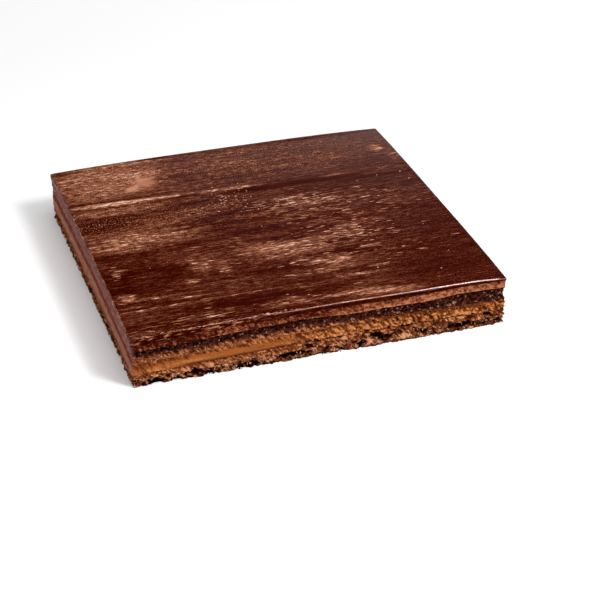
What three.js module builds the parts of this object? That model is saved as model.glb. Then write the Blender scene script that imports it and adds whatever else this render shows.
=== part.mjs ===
// A chocolate caramel entremet: a low rectangular cake of six layers under a dark glaze, with every layer
// running right through it and showing at the trimmed sides. Millimetres, +Z up, the origin at the middle of
// the flat underside, +X along the long trimmed side that faces the viewer (-Y).
import * as THREE from "three";

// Driving dimensions
const WIDTH = 286;
const DEPTH = 279;
const HEIGHT = 41;
const CORNER_RADIUS = 1.2;
const CORNER_DROOP = 2.3;
const DROOP_POWER = 3;
const STATIONS_PER_SIDE = 48;

// How far from a corner the wall's stations lean towards it, so that what lies inside the outline keeps a
// sharp corner of its own
const CORNER_SPREAD = 8;

// The glaze lip: how far the mousse below stands back from it, and how its top edge is rounded
const LIP_UNDERCUT = 0.35;
const LIP_UNDERSIDE_INSET = 0.15;
const EDGE_DROP = 1.1;
const EDGE_SHOULDER_INSET = 0.45;
const EDGE_SHOULDER_DROP = 0.3;
const EDGE_TOP_INSET = 1.0;

// Rings of the top face inside the edge, as shares of the way from the middle, that carry the crown
const CROWN_RINGS = [0.9, 0.72];

// How deep the wall may lie inside the outline
const SHALLOWEST_INSET = 0.1;
const DEEPEST_INSET = 3.2;

// The four sides, walked anticlockwise from above. bow is how far the middle of a side is trimmed inwards
// above the foot, crumble scales its crags, and setback scales how far a layer stands back from a flush wall:
// the left and back sides were trimmed with a hot blade and are smoother. At the foot the crumb base spreads
// out to the straight outline.
const FOOT_HEIGHT = 13;
const FLUSH_INSET = 0.7;
const SIDES = [
  { start: [-1, -1], along: [1, 0], out: [0, -1], length: WIDTH, bow: 1.5, crumble: 1.0, setback: 1.0 },
  { start: [1, -1], along: [0, 1], out: [1, 0], length: DEPTH, bow: 0.4, crumble: 1.0, setback: 1.0 },
  { start: [1, 1], along: [-1, 0], out: [0, 1], length: WIDTH, bow: 0.4, crumble: 0.6, setback: 0.2 },
  { start: [-1, 1], along: [0, -1], out: [-1, 0], length: DEPTH, bow: 1.0, crumble: 0.6, setback: 0.2 },
];
const PERIMETER = 2 * (WIDTH + DEPTH) - (8 - 2 * Math.PI) * CORNER_RADIUS;

// The seams between the layers, from the underside up: nominal height, how much higher the right end lies
// than the middle, how far the height waves along the wall, how far the wall lies inside the outline there,
// and how ragged that inset is.
const SEAMS = [
  { height: 0, slope: 0, wave: 0, inset: 0.6, ragged: 1.0 },
  { height: 7, slope: 0.3, wave: 0.6, inset: 0.8, ragged: 0.8 },
  { height: 12.6, slope: 1.2, wave: 0.5, inset: 0.8, ragged: 0.4 },
  { height: 20.4, slope: 0.6, wave: 0.5, inset: 0.8, ragged: 0.5 },
  { height: 24.2, slope: -1.2, wave: 0.6, inset: 1.3, ragged: 0.6 },
  { height: 30.8, slope: 0.7, wave: 0.5, inset: 1.1, ragged: 0.4 },
  { height: 37.3, slope: 1.5, wave: 0.4, inset: 0.6, ragged: 0.2 },
];

// How far a seam lies above its nominal line along the front, as pairs of x and shift, by the number of
// the seam. Along the left and right sides the shift fades out over SHIFT_FADE.
const SHIFT_FADE = 70;
const FRONT_SHIFTS = {
  3: [
    [-143, 0.4], [-100, 0.3], [-60, -0.5], [-45, -0.4], [-10, 0.2],
    [10, 1.6], [30, 1.9], [60, 1.3], [90, 0.3],
  ],
  4: [
    [-143, 0], [-120, 0.3], [-90, -0.6], [-65, 0], [-48, 1.5],
    [-8, 1.2], [10, 0.6], [40, 0], [90, -0.6], [143, 0],
  ],
  5: [
    [-100, 0.5], [-80, 1.2], [-40, 1.2], [-20, 1.7], [-5, 1],
    [10, -0.1], [22, -0.8], [85, -0.9], [106, 1.3], [125, 1.7],
  ],
  6: [
    [0, 0], [16, -0.8], [85, -0.8], [105, 0.1], [125, 0.4],
  ],
};

// The layers from the underside up. inset is the wall's distance inside the outline at mid height, crag is
// the depth of its relief, and rows is how many bands of faces the wall has.
const LAYERS = [
  { name: "crunch_base", inset: 1.0, crag: 2.0, rows: 4, colour: 0x6e4029, roughness: 0.85 },
  { name: "lower_mousse", inset: 0.9, crag: 1.4, rows: 2, colour: 0x84492c, roughness: 0.75 },
  { name: "caramel", inset: 0.6, crag: 0.5, rows: 2, colour: 0xb06a2f, roughness: 0.4 },
  { name: "middle_mousse", inset: 0.8, crag: 1.1, rows: 2, colour: 0x7a4229, roughness: 0.7 },
  { name: "sponge", inset: 2.2, crag: 1.5, rows: 3, colour: 0x3a1a12, roughness: 0.9 },
  { name: "top_mousse", inset: 0.6, crag: 0.4, rows: 2, colour: 0x96593f, roughness: 0.65 },
];
const GLAZE = { name: "glaze", colour: 0x471910, roughness: 0.28 };

// A repeatable number from -0.5 to 0.5 for two whole numbers and a seed.
function speckle(a, b, seed) {
  const value = Math.sin(a * 127.1 + b * 311.7 + seed * 74.7) * 43758.5453;
  return value - Math.floor(value) - 0.5;
}

// A closed wave along the wall, from -1 to 1, made of a few whole turns round the cake.
function wave(distance, seed) {
  const turn = (2 * Math.PI * distance) / PERIMETER;
  const swell = 0.5 * Math.sin(5 * turn + seed * 1.7);
  const ripple = 0.3 * Math.sin(9 * turn + seed * 2.9);
  const chop = 0.2 * Math.sin(23 * turn + seed * 4.3);
  return swell + ripple + chop;
}

// How much a station leans towards a corner that is a distance away along the wall: 1 at the corner itself.
function cornerLean(distance) {
  return Math.max(0, 1 - distance / CORNER_SPREAD);
}

// The stations round the outline: where each is, which way is out, and how far along the wall it lies.
function walkOutline() {
  const stations = [];
  let walked = 0;
  const arc = (Math.PI / 2) * CORNER_RADIUS;
  for (const side of SIDES) {
    const run = side.length - 2 * CORNER_RADIUS;
    const corner = [(side.start[0] * WIDTH) / 2, (side.start[1] * DEPTH) / 2];
    for (let i = 0; i < STATIONS_PER_SIDE; i++) {
      const share = i / (STATIONS_PER_SIDE - 1);
      const along = CORNER_RADIUS + run * share;
      const lean = cornerLean(side.length - along) - cornerLean(along);
      stations.push({
        x: corner[0] + side.along[0] * along,
        y: corner[1] + side.along[1] * along,
        out: [side.out[0] + side.along[0] * lean, side.out[1] + side.along[1] * lean],
        bow: side.bow * Math.sin(Math.PI * share),
        distance: walked + run * share,
        crumble: side.crumble,
        setback: side.setback,
      });
    }
    // One station on the middle of the rounded corner that ends this side
    const diagonal = [side.out[0] + side.along[0], side.out[1] + side.along[1]];
    const reach = CORNER_RADIUS * Math.SQRT1_2;
    const centre = [
      corner[0] + side.along[0] * (side.length - CORNER_RADIUS) - side.out[0] * CORNER_RADIUS,
      corner[1] + side.along[1] * (side.length - CORNER_RADIUS) - side.out[1] * CORNER_RADIUS,
    ];
    stations.push({
      x: centre[0] + diagonal[0] * reach,
      y: centre[1] + diagonal[1] * reach,
      out: diagonal,
      bow: 0,
      distance: walked + run + arc / 2,
      crumble: side.crumble,
      setback: side.setback,
    });
    walked += run + arc;
  }
  return stations;
}

const STATIONS = walkOutline();

// The plan position at a station, a distance inside the bowed outline that holds at a height.
function inside(station, inset, height) {
  const depth = inset + station.bow * Math.min(1, height / FOOT_HEIGHT);
  return [station.x - station.out[0] * depth, station.y - station.out[1] * depth];
}

// A point on the wall at a station, with its inset kept between the two limits.
function wallPoint(station, inset, height) {
  const depth = Math.min(Math.max(inset, SHALLOWEST_INSET), DEEPEST_INSET);
  return [...inside(station, depth, height), height];
}

// The share of its full height that the cake keeps at a place: it is crowned, and droops towards its corners.
function crown(x, y) {
  const cornered = Math.abs(((x / (WIDTH / 2)) * y) / (DEPTH / 2));
  return 1 - (CORNER_DROOP / HEIGHT) * cornered ** DROOP_POWER;
}

// The shift of a seam at a station: on the straight lines between its pairs, and level beyond the end ones.
function frontShift(index, station) {
  const pairs = FRONT_SHIFTS[index] ?? [[0, 0]];
  const fade = Math.max(0, 1 - (station.y + DEPTH / 2) / SHIFT_FADE);
  let shift = pairs[0][1];
  for (let i = 1; i < pairs.length; i++) {
    const [startX, startShift] = pairs[i - 1];
    const [endX, endShift] = pairs[i];
    const share = Math.min(Math.max((station.x - startX) / (endX - startX), 0), 1);
    shift += (endShift - startShift) * share;
  }
  return fade * shift;
}

// The height of a seam at a station.
function seamHeight(index, station) {
  const seam = SEAMS[index];
  const level = seam.height + (seam.slope * station.x) / (WIDTH / 2) + frontShift(index, station);
  return (level + seam.wave * wave(station.distance, index)) * crown(station.x, station.y);
}

// An inset at a station, brought closer to the flush wall where the side was trimmed smooth.
function flushed(inset, station) {
  return FLUSH_INSET + (inset - FLUSH_INSET) * station.setback;
}

// The ring of points where two layers meet, shared by both of them.
function seamRing(index) {
  const seam = SEAMS[index];
  return STATIONS.map((station, i) => {
    const inset = flushed(seam.inset, station) + seam.ragged * station.crumble * speckle(i, index, 3);
    return wallPoint(station, inset, seamHeight(index, station));
  });
}

// The rings of a layer's wall between its two seams, with crags in twos and threes of stations.
function wallRings(index) {
  const layer = LAYERS[index];
  const rings = [];
  for (let row = 1; row < layer.rows; row++) {
    const share = row / layer.rows;
    rings.push(
      STATIONS.map((station, i) => {
        const clump = speckle(Math.floor(i / 3), row, index + 11);
        const grain = speckle(i, row, index + 29);
        const crag = layer.crag * station.crumble * (0.55 * clump + 0.45 * grain);
        const inset = flushed(layer.inset, station) + crag;
        const low = seamHeight(index, station);
        const high = seamHeight(index + 1, station);
        return wallPoint(station, inset, low + (high - low) * share);
      }),
    );
  }
  return rings;
}

// The rings of the glaze above its seam: out to the lip, up its face, over the rounded top edge and in along
// the crowned top face.
function glazeRings(seam) {
  const lip = STATIONS.map((station) =>
    wallPoint(station, LIP_UNDERSIDE_INSET, seamHeight(seam, station) + LIP_UNDERCUT),
  );
  const edge = (inset, drop) =>
    STATIONS.map((station) => {
      const [x, y] = inside(station, inset, HEIGHT);
      return [x, y, HEIGHT * crown(x, y) - drop];
    });
  const top = edge(EDGE_TOP_INSET, 0);
  const inner = CROWN_RINGS.map((share) =>
    top.map(([x, y]) => [x * share, y * share, HEIGHT * crown(x * share, y * share)]),
  );
  return [lip, edge(0, EDGE_DROP), edge(EDGE_SHOULDER_INSET, EDGE_SHOULDER_DROP), top, ...inner];
}

// A closed solid from rings of points, lowest first, with its two ends filled to a middle point.
function solidOfRings(rings, floorHeight, roofHeight) {
  const count = STATIONS.length;
  const points = [...rings.flat(), [0, 0, floorHeight], [0, 0, roofHeight]];
  const floorMiddle = rings.length * count;
  const roofMiddle = floorMiddle + 1;
  const faces = [];
  for (let i = 0; i < count; i++) {
    const next = (i + 1) % count;
    for (let ring = 0; ring < rings.length - 1; ring++) {
      const low = ring * count;
      const high = low + count;
      faces.push(low + i, low + next, high + next, low + i, high + next, high + i);
    }
    const roof = (rings.length - 1) * count;
    faces.push(next, i, floorMiddle, roof + i, roof + next, roofMiddle);
  }
  const geometry = new THREE.BufferGeometry();
  geometry.setAttribute("position", new THREE.Float32BufferAttribute(points.flat(), 3));
  geometry.setIndex(faces);
  geometry.computeVertexNormals();
  return geometry;
}

// A named layer with its finish.
function layerMesh(layer, geometry) {
  const material = new THREE.MeshStandardMaterial({
    color: layer.colour,
    roughness: layer.roughness,
    metalness: 0,
  });
  const mesh = new THREE.Mesh(geometry, material);
  mesh.name = layer.name;
  return mesh;
}

const entremet = new THREE.Group();
entremet.name = "entremet";

LAYERS.forEach((layer, index) => {
  const rings = [seamRing(index), ...wallRings(index), seamRing(index + 1)];
  entremet.add(layerMesh(layer, solidOfRings(rings, SEAMS[index].height, SEAMS[index + 1].height)));
});

const glazeSeam = SEAMS.length - 1;
const glazeWall = [seamRing(glazeSeam), ...glazeRings(glazeSeam)];
entremet.add(layerMesh(GLAZE, solidOfRings(glazeWall, SEAMS[glazeSeam].height, HEIGHT)));

export default entremet;
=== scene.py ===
"""Looks of a chocolate caramel entremet: six layers, their crumbs, a brushed glaze and a plain studio.

Lengths are millimetres here and metres in the meshes. Heights are above the cake's flat underside. A
distance along the wall runs anticlockwise, seen from above, from the front left corner. A span is a pair
of values: what it rules begins at the first and is full at the second.
"""
import itertools
import logging
import math
from dataclasses import dataclass, field, replace
from enum import Enum

import bpy
import numpy as np
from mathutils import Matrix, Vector


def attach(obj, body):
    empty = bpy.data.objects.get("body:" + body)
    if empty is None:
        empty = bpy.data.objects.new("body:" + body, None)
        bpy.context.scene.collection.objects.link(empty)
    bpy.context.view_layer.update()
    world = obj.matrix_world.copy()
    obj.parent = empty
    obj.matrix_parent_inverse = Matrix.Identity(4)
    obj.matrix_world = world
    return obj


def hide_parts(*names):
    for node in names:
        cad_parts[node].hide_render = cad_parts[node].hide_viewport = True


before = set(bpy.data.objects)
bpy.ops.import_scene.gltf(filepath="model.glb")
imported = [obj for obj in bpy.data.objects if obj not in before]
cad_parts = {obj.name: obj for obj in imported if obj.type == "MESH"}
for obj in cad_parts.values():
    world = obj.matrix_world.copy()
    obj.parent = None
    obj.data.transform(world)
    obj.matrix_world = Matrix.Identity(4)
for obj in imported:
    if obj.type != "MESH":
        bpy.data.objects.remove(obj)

LOG = logging.getLogger("entremet")
MM = 0.001
BODY = "root"
Array = np.ndarray
Colour = tuple[float, float, float, float]
Pair = tuple[float, float]
Triple = tuple[float, float, float]
Pairs = tuple[Pair, ...]
Faces = list[tuple[int, ...]]
Socket = bpy.types.NodeSocket

# Whole numbers that scramble a place and a seed, and how many levels the result has
HASH_FACTORS = (73856093, 19349663, 83492791)
HASH_ROUNDS = ((15, 1274126177), (13, 1103515245))
HASH_MASK = 0x7FFFFFFF
HASH_SHIFT = 8
HASH_LEVELS = 0xFFFF
# How much fainter each finer copy of a noise is, and how far apart the copies' seeds lie
OCTAVE_FADE = 0.55
OCTAVE_SEEDS = 17
# A clump's middle keeps off the edge of its cell, and nothing is farther from it than this many cells
CELL_EDGE = 0.12
CELL_SPREAD = 0.76
CELL_FAR = 9.0


class Side(Enum):
    """The four sides in the order of the walk round the cake."""

    FRONT = 0
    RIGHT = 1
    BACK = 2
    LEFT = 3


def srgb(red: float, green: float, blue: float) -> Colour:
    """Turn a colour as a screen shows it into a linear one.

    Args:
        red: Red part, from 0 to 255.
        green: Green part, from 0 to 255.
        blue: Blue part, from 0 to 255.

    Returns:
        The linear colour, opaque.
    """
    shown = [part / 255 for part in (red, green, blue)]
    linear = [part / 12.92 if part <= 0.04045 else ((part + 0.055) / 1.055) ** 2.4 for part in shown]
    return (linear[0], linear[1], linear[2], 1.0)


def eased(low: float, high: float, value: Array) -> Array:
    """Rise smoothly from 0 to 1 while the value goes from low to high, which may lie below low."""
    share = np.clip((value - low) / (high - low), 0.0, 1.0)
    return share * share * (3 - 2 * share)


def mixed(first: Array, second: Array, share: Array) -> Array:
    """Go from the first value to the second by a share from 0 to 1."""
    return first + (second - first) * share


def hashed(column: Array, row: Array, seed: int) -> Array:
    """Give a repeatable number from 0 to 1 for each whole-number place.

    Args:
        column: Places across.
        row: Places up.
        seed: Picks one of many patterns.

    Returns:
        One number for each place.
    """
    across, up, turn = HASH_FACTORS
    place = (column.astype(np.int64) * across) ^ (row.astype(np.int64) * up) ^ (seed * turn)
    place = place & HASH_MASK
    for shift, factor in HASH_ROUNDS:
        place = ((place ^ (place >> shift)) * factor) & HASH_MASK
    return ((place >> HASH_SHIFT) & HASH_LEVELS) / HASH_LEVELS


def value_noise(x: Array, y: Array, seed: int, wrap: int) -> Array:
    """Smooth noise from 0 to 1 on a grid of unit cells.

    Args:
        x: Places across, in cells.
        y: Places up, in cells.
        seed: Picks one of many patterns.
        wrap: After how many cells across the pattern repeats, or 0 for never.

    Returns:
        One number for each place.
    """
    column, row = np.floor(x), np.floor(y)
    across = eased(0.0, 1.0, x - column)
    up = eased(0.0, 1.0, y - row)
    left = column % wrap if wrap else column
    right = (column + 1) % wrap if wrap else column + 1
    low = mixed(hashed(left, row, seed), hashed(right, row, seed), across)
    high = mixed(hashed(left, row + 1, seed), hashed(right, row + 1, seed), across)
    return mixed(low, high, up)


def layered_noise(x: Array, y: Array, seed: int, octaves: int, wrap: int = 0) -> Array:
    """Value noise with finer and fainter copies of itself on top, from 0 to 1.

    Args:
        x: Places across, in cells.
        y: Places up, in cells.
        seed: Picks one of many patterns.
        octaves: How many copies are added.
        wrap: After how many cells across the pattern repeats, or 0 for never.

    Returns:
        One number for each place.
    """
    total, weight, scale = np.zeros(np.broadcast(x, y).shape), 0.0, 1
    for octave in range(octaves):
        share = OCTAVE_FADE**octave
        total = total + share * value_noise(x * scale, y * scale, seed + OCTAVE_SEEDS * octave, wrap * scale)
        weight += share
        scale *= 2
    return total / weight


@dataclass(frozen=True)
class Cells:
    """Clumps: distance to the nearest middle, how much farther the next one is, and a number per clump."""

    near: Array
    gap: Array
    pick: Array

    def dome(self, reach: float) -> Array:
        """Round each clump off: 1 at its middle, 0 from the given reach outwards."""
        return np.sqrt(np.clip(1 - (self.near / reach) ** 2, 0.0, 1.0))


def cell_noise(x: Array, y: Array, seed: int, wrap: int) -> Cells:
    """Scatter one clump in every unit cell.

    Args:
        x: Places across, in cells.
        y: Places up, in cells.
        seed: Picks one of many patterns.
        wrap: After how many cells across the pattern repeats.

    Returns:
        The clumps as each place sees them.
    """
    column, row = np.floor(x), np.floor(y)
    near = np.full(x.shape, CELL_FAR)
    following = np.full(x.shape, CELL_FAR)
    pick = np.zeros(x.shape)
    for step_x, step_y in itertools.product((-1, 0, 1), repeat=2):
        cell_x, cell_y = column + step_x, row + step_y
        name = cell_x % wrap
        middle_x = cell_x + CELL_EDGE + CELL_SPREAD * hashed(name, cell_y, seed)
        middle_y = cell_y + CELL_EDGE + CELL_SPREAD * hashed(name, cell_y, seed + 5)
        distance = np.hypot(x - middle_x, y - middle_y)
        closer = distance < near
        following = np.where(closer, near, np.minimum(following, distance))
        pick = np.where(closer, hashed(name, cell_y, seed + 9), pick)
        near = np.where(closer, distance, near)
    return Cells(near, following - near, pick)


@dataclass(frozen=True)
class Trim:
    """How one side was trimmed: corner it starts at, ways along and out, bow, crags and smear."""

    start: tuple[int, int]
    along: tuple[int, int]
    out: tuple[int, int]
    bow: float
    crumble: float
    smear: float


TRIMS = {
    Side.FRONT: Trim((-1, -1), (1, 0), (0, -1), bow=1.5, crumble=1.0, smear=0.0),
    Side.RIGHT: Trim((1, -1), (0, 1), (1, 0), bow=0.4, crumble=1.0, smear=0.0),
    Side.BACK: Trim((1, 1), (-1, 0), (0, 1), bow=0.4, crumble=0.6, smear=0.8),
    Side.LEFT: Trim((-1, 1), (0, -1), (-1, 0), bow=1.0, crumble=0.6, smear=1.0),
}


@dataclass(frozen=True)
class Columns:
    """Places round the outline, each with its way out, bow, distance along the wall and share of a side."""

    x: Array
    y: Array
    out_x: Array
    out_y: Array
    bow: Array
    distance: Array
    bend: Array
    share: dict[Side, Array]
    foot_height: float

    def trait(self, name: str) -> Array:
        """Spread a number of the sides' trims over the places, blended at the corners."""
        return sum(getattr(TRIMS[side], name) * self.share[side] for side in Side)

    def inside(self, inset: Array, height: Array) -> tuple[Array, Array]:
        """Give the points a distance inside the outline, straight at the foot and bowed above it."""
        depth = inset + self.bow * np.clip(height / self.foot_height, 0, 1)
        return self.x - self.out_x * depth, self.y - self.out_y * depth


@dataclass(frozen=True)
class Outline:
    """The cake's plan: a rectangle with barely rounded corners, bowed sides above its foot, a crowned top.

    Within corner_spread of a corner the ways out lean towards it, so that walls inside the plan keep sharp
    corners.
    """

    width: float = 286.0
    depth: float = 279.0
    height: float = 41.0
    corner_radius: float = 1.2
    corner_spread: float = 8.0
    corner_droop: float = 2.3
    droop_power: float = 3.0
    foot_height: float = 13.0
    corner_blend: float = 5.0

    @property
    def arc(self) -> float:
        """Length of one rounded corner."""
        return math.pi / 2 * self.corner_radius

    @property
    def perimeter(self) -> float:
        """Length of one walk round the cake."""
        return 2 * (self.width + self.depth) - 8 * self.corner_radius + 4 * self.arc

    def side_length(self, side: Side) -> float:
        """Length of a side's straight run."""
        whole = self.width if side in (Side.FRONT, Side.BACK) else self.depth
        return whole - 2 * self.corner_radius

    def crown(self, x: Array, y: Array) -> Array:
        """Share of its full height that the cake keeps at a place, as it droops towards the corners."""
        cornered = np.abs(x / (self.width / 2) * y / (self.depth / 2))
        return 1 - self.corner_droop / self.height * cornered**self.droop_power

    def side_points(self, side: Side, shares: Array) -> tuple[Array, ...]:
        """Walk one side from the middle of one rounded corner to the middle of the next.

        Args:
            side: Which side.
            shares: Places on the way, from 0 to 1.

        Returns:
            x, y, way out in x and y, bow, distance along the wall, and nearness to a corner's middle.
        """
        trim = TRIMS[side]
        along, out = np.array(trim.along, float), np.array(trim.out, float)
        radius, half, run = self.corner_radius, self.arc / 2, self.side_length(side)
        walked = sum(self.side_length(other) + self.arc for other in Side if other.value < side.value)
        gone = shares * (run + 2 * half) - half
        angle = math.pi / 4 * (np.clip(gone - run, 0, half) - np.clip(-gone, 0, half)) / half
        straight = np.clip(gone, 0, run)
        bow = trim.bow * np.sin(math.pi * straight / run)
        bend = np.abs(angle) / (math.pi / 4)
        to_start, to_end = straight + radius * (1 - bend), run - straight + radius * (1 - bend)
        leans = [np.clip(1 - gap / self.corner_spread, 0, 1) for gap in (to_end, to_start)]
        way_out = out + np.outer(leans[0] - leans[1], along)
        corner = np.array([trim.start[0] * self.width / 2, trim.start[1] * self.depth / 2])
        centre = corner + np.outer(radius + straight, along) - radius * out
        points = centre + radius * (np.outer(np.cos(angle), out) + np.outer(np.sin(angle), along))
        return points[:, 0], points[:, 1], way_out[:, 0], way_out[:, 1], bow, walked + gone, bend

    def columns(self, counts: dict[Side, int]) -> Columns:
        """Walk the whole outline.

        Args:
            counts: How many steps each side is given.

        Returns:
            The places, anticlockwise from the front left corner.
        """
        walks = [self.side_points(side, np.arange(counts[side]) / counts[side]) for side in Side]
        x, y, out_x, out_y, bow, distance, bend = (np.concatenate(parts) for parts in zip(*walks))
        owner = np.concatenate([np.full(counts[side], side.value) for side in Side])
        reach = max(1, round(self.corner_blend * len(x) / self.perimeter / 2))
        share = {}
        for side in Side:
            own = (owner == side.value).astype(float)
            share[side] = np.mean([np.roll(own, step) for step in range(-reach, reach + 1)], axis=0)
        return Columns(x, y, out_x, out_y, bow, distance, bend, share, self.foot_height)

    def spaced_columns(self, spacing: float) -> Columns:
        """Walk the whole outline in steps of about the given length."""
        return self.columns({side: round((self.side_length(side) + self.arc) / spacing) for side in Side})


@dataclass(frozen=True)
class WallNoise:
    """Noise on the wall that closes on itself after one walk round the cake."""

    perimeter: float

    def smooth(self, along: Array, height: Array, size: Pair, seed: int, octaves: int = 3) -> Array:
        """Layered noise from 0 to 1.

        Args:
            along: Distances along the wall.
            height: Heights.
            size: Length and height of the coarsest lumps.
            seed: Picks one of many patterns.
            octaves: How many finer copies are added.

        Returns:
            One number for each place.
        """
        count = round(self.perimeter / size[0])
        return layered_noise(along * count / self.perimeter, height / size[1], seed, octaves, count)

    def clumps(self, along: Array, height: Array, size: Pair, seed: int) -> Cells:
        """Clumps of about the given length and height, as cell_noise gives them."""
        count = round(self.perimeter / size[0])
        return cell_noise(along * count / self.perimeter, height / size[1], seed, count)


@dataclass(frozen=True)
class Seam:
    """Where two layers meet: height, slope to the right, wave, and the height and length of its fine teeth.

    shifts gives pairs of x and how far the seam lies above that line there, along the front.
    """

    height: float
    slope: float
    wave: float
    teeth: float
    tooth_length: float
    shifts: Pairs = ((0.0, 0.0),)


CARAMEL_SHIFTS = (
    (-143, 0.4), (-100, 0.3), (-60, -0.5), (-45, -0.4), (-10, 0.2),
    (10, 1.6), (30, 1.9), (60, 1.3), (90, 0.3),
)
MIDDLE_SHIFTS = (
    (-143, 0.0), (-120, 0.3), (-90, -0.6), (-65, 0.0), (-48, 1.5),
    (-8, 1.2), (10, 0.6), (40, 0.0), (90, -0.6), (143, 0.0),
)
SPONGE_SHIFTS = (
    (-100, 0.5), (-80, 1.2), (-40, 1.2), (-20, 1.7), (-5, 1.0),
    (10, -0.1), (22, -0.8), (85, -0.9), (106, 1.3), (125, 1.7),
)
TOP_SHIFTS = ((0, 0.0), (16, -0.8), (85, -0.8), (105, 0.1), (125, 0.4))


@dataclass(frozen=True)
class Stack:
    """The heights of all the seams, from the underside up.

    swells gives the size, turns round the cake and phase of each part of the seams' slow wave.
    """

    outline: Outline
    noise: WallNoise
    seams: tuple[Seam, ...] = (
        Seam(0.0, 0.0, 0.0, 0.0, 4.0),
        Seam(7.0, 0.3, 0.6, 0.9, 4.4),
        Seam(12.6, 1.2, 0.5, 0.4, 5.0),
        Seam(20.4, 0.6, 0.5, 0.9, 4.0, CARAMEL_SHIFTS),
        Seam(24.2, -1.2, 0.6, 0.8, 3.0, MIDDLE_SHIFTS),
        Seam(30.8, 0.7, 0.5, 0.5, 5.0, SPONGE_SHIFTS),
        Seam(37.3, 1.5, 0.4, 0.3, 7.0, TOP_SHIFTS),
    )
    shift_fade: float = 70.0
    swells: tuple[Triple, ...] = ((0.5, 5, 1.7), (0.3, 9, 2.9), (0.2, 23, 4.3))
    teeth_seed: int = 900
    teeth_row: float = 0.37
    smear_cut: float = 0.75

    def wave(self, distance: Array, seed: int) -> Array:
        """A slow closed wave along the wall, from -1 to 1."""
        turn = 2 * math.pi * distance / self.outline.perimeter
        return sum(size * np.sin(turns * turn + seed * phase) for size, turns, phase in self.swells)

    def seam_height(self, index: int, columns: Columns) -> Array:
        """Height of a seam at each place.

        Args:
            index: The seam, 0 for the underside.
            columns: Places round the outline.

        Returns:
            Heights, with the fine teeth that a trimmed side has.
        """
        seam = self.seams[index]
        level = seam.height + seam.slope * columns.x / (self.outline.width / 2)
        fade = np.clip(1 - (columns.y + self.outline.depth / 2) / self.shift_fade, 0, 1)
        level = level + seam.wave * self.wave(columns.distance, index)
        level = level + fade * np.interp(columns.x, *zip(*seam.shifts))
        row = np.full(columns.distance.shape, self.teeth_row)
        tooth = (seam.tooth_length, 1.0)
        chip = self.noise.smooth(columns.distance, row, tooth, self.teeth_seed + index, 3) - 0.5
        cut = 1 - self.smear_cut * columns.trait("smear")
        return (level + 2 * seam.teeth * chip * cut) * self.outline.crown(columns.x, columns.y)


@dataclass(frozen=True)
class Hollow:
    """A hollow between the crumbs of the front, painted dark as shade: its middle, and half its length and
    height.
    """

    x: float
    height: float
    along: float
    up: float


HOLLOWS = tuple(
    Hollow(*row)
    for row in (
        (-125.5, 2.0, 6.5, 2.4),
        (-111.0, 0.8, 5.0, 2.6),
        (-95.0, 3.8, 6.0, 2.8),
        (-82.5, 0.8, 4.5, 2.6),
        (-57.5, 2.1, 8.0, 2.6),
        (-26.0, 4.8, 7.5, 1.8),
        (-13.0, 4.4, 6.0, 1.6),
        (-10.5, 8.8, 2.4, 2.2),
        (-4.0, 11.4, 3.4, 1.2),
        (12.5, 11.8, 3.0, 1.0),
        (29.5, 3.8, 4.0, 2.2),
        (41.5, 8.8, 5.0, 2.4),
    )
)
HOLLOWS_SEED = 16
# The hollows of the front have their places up to here; beyond it they are left to chance
PLACED_SPAN = (62.0, 50.0)
# Heaped bits: how far they are shifted about and reach, in shares of their size, and which rises show
BIT_WARP = (0.5, 0.4)
BIT_REACH = 0.66
BIT_SHUFFLE = 7.13
HEAP_FLOOR = 0.33
HEAP_RISE = 0.5


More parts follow.
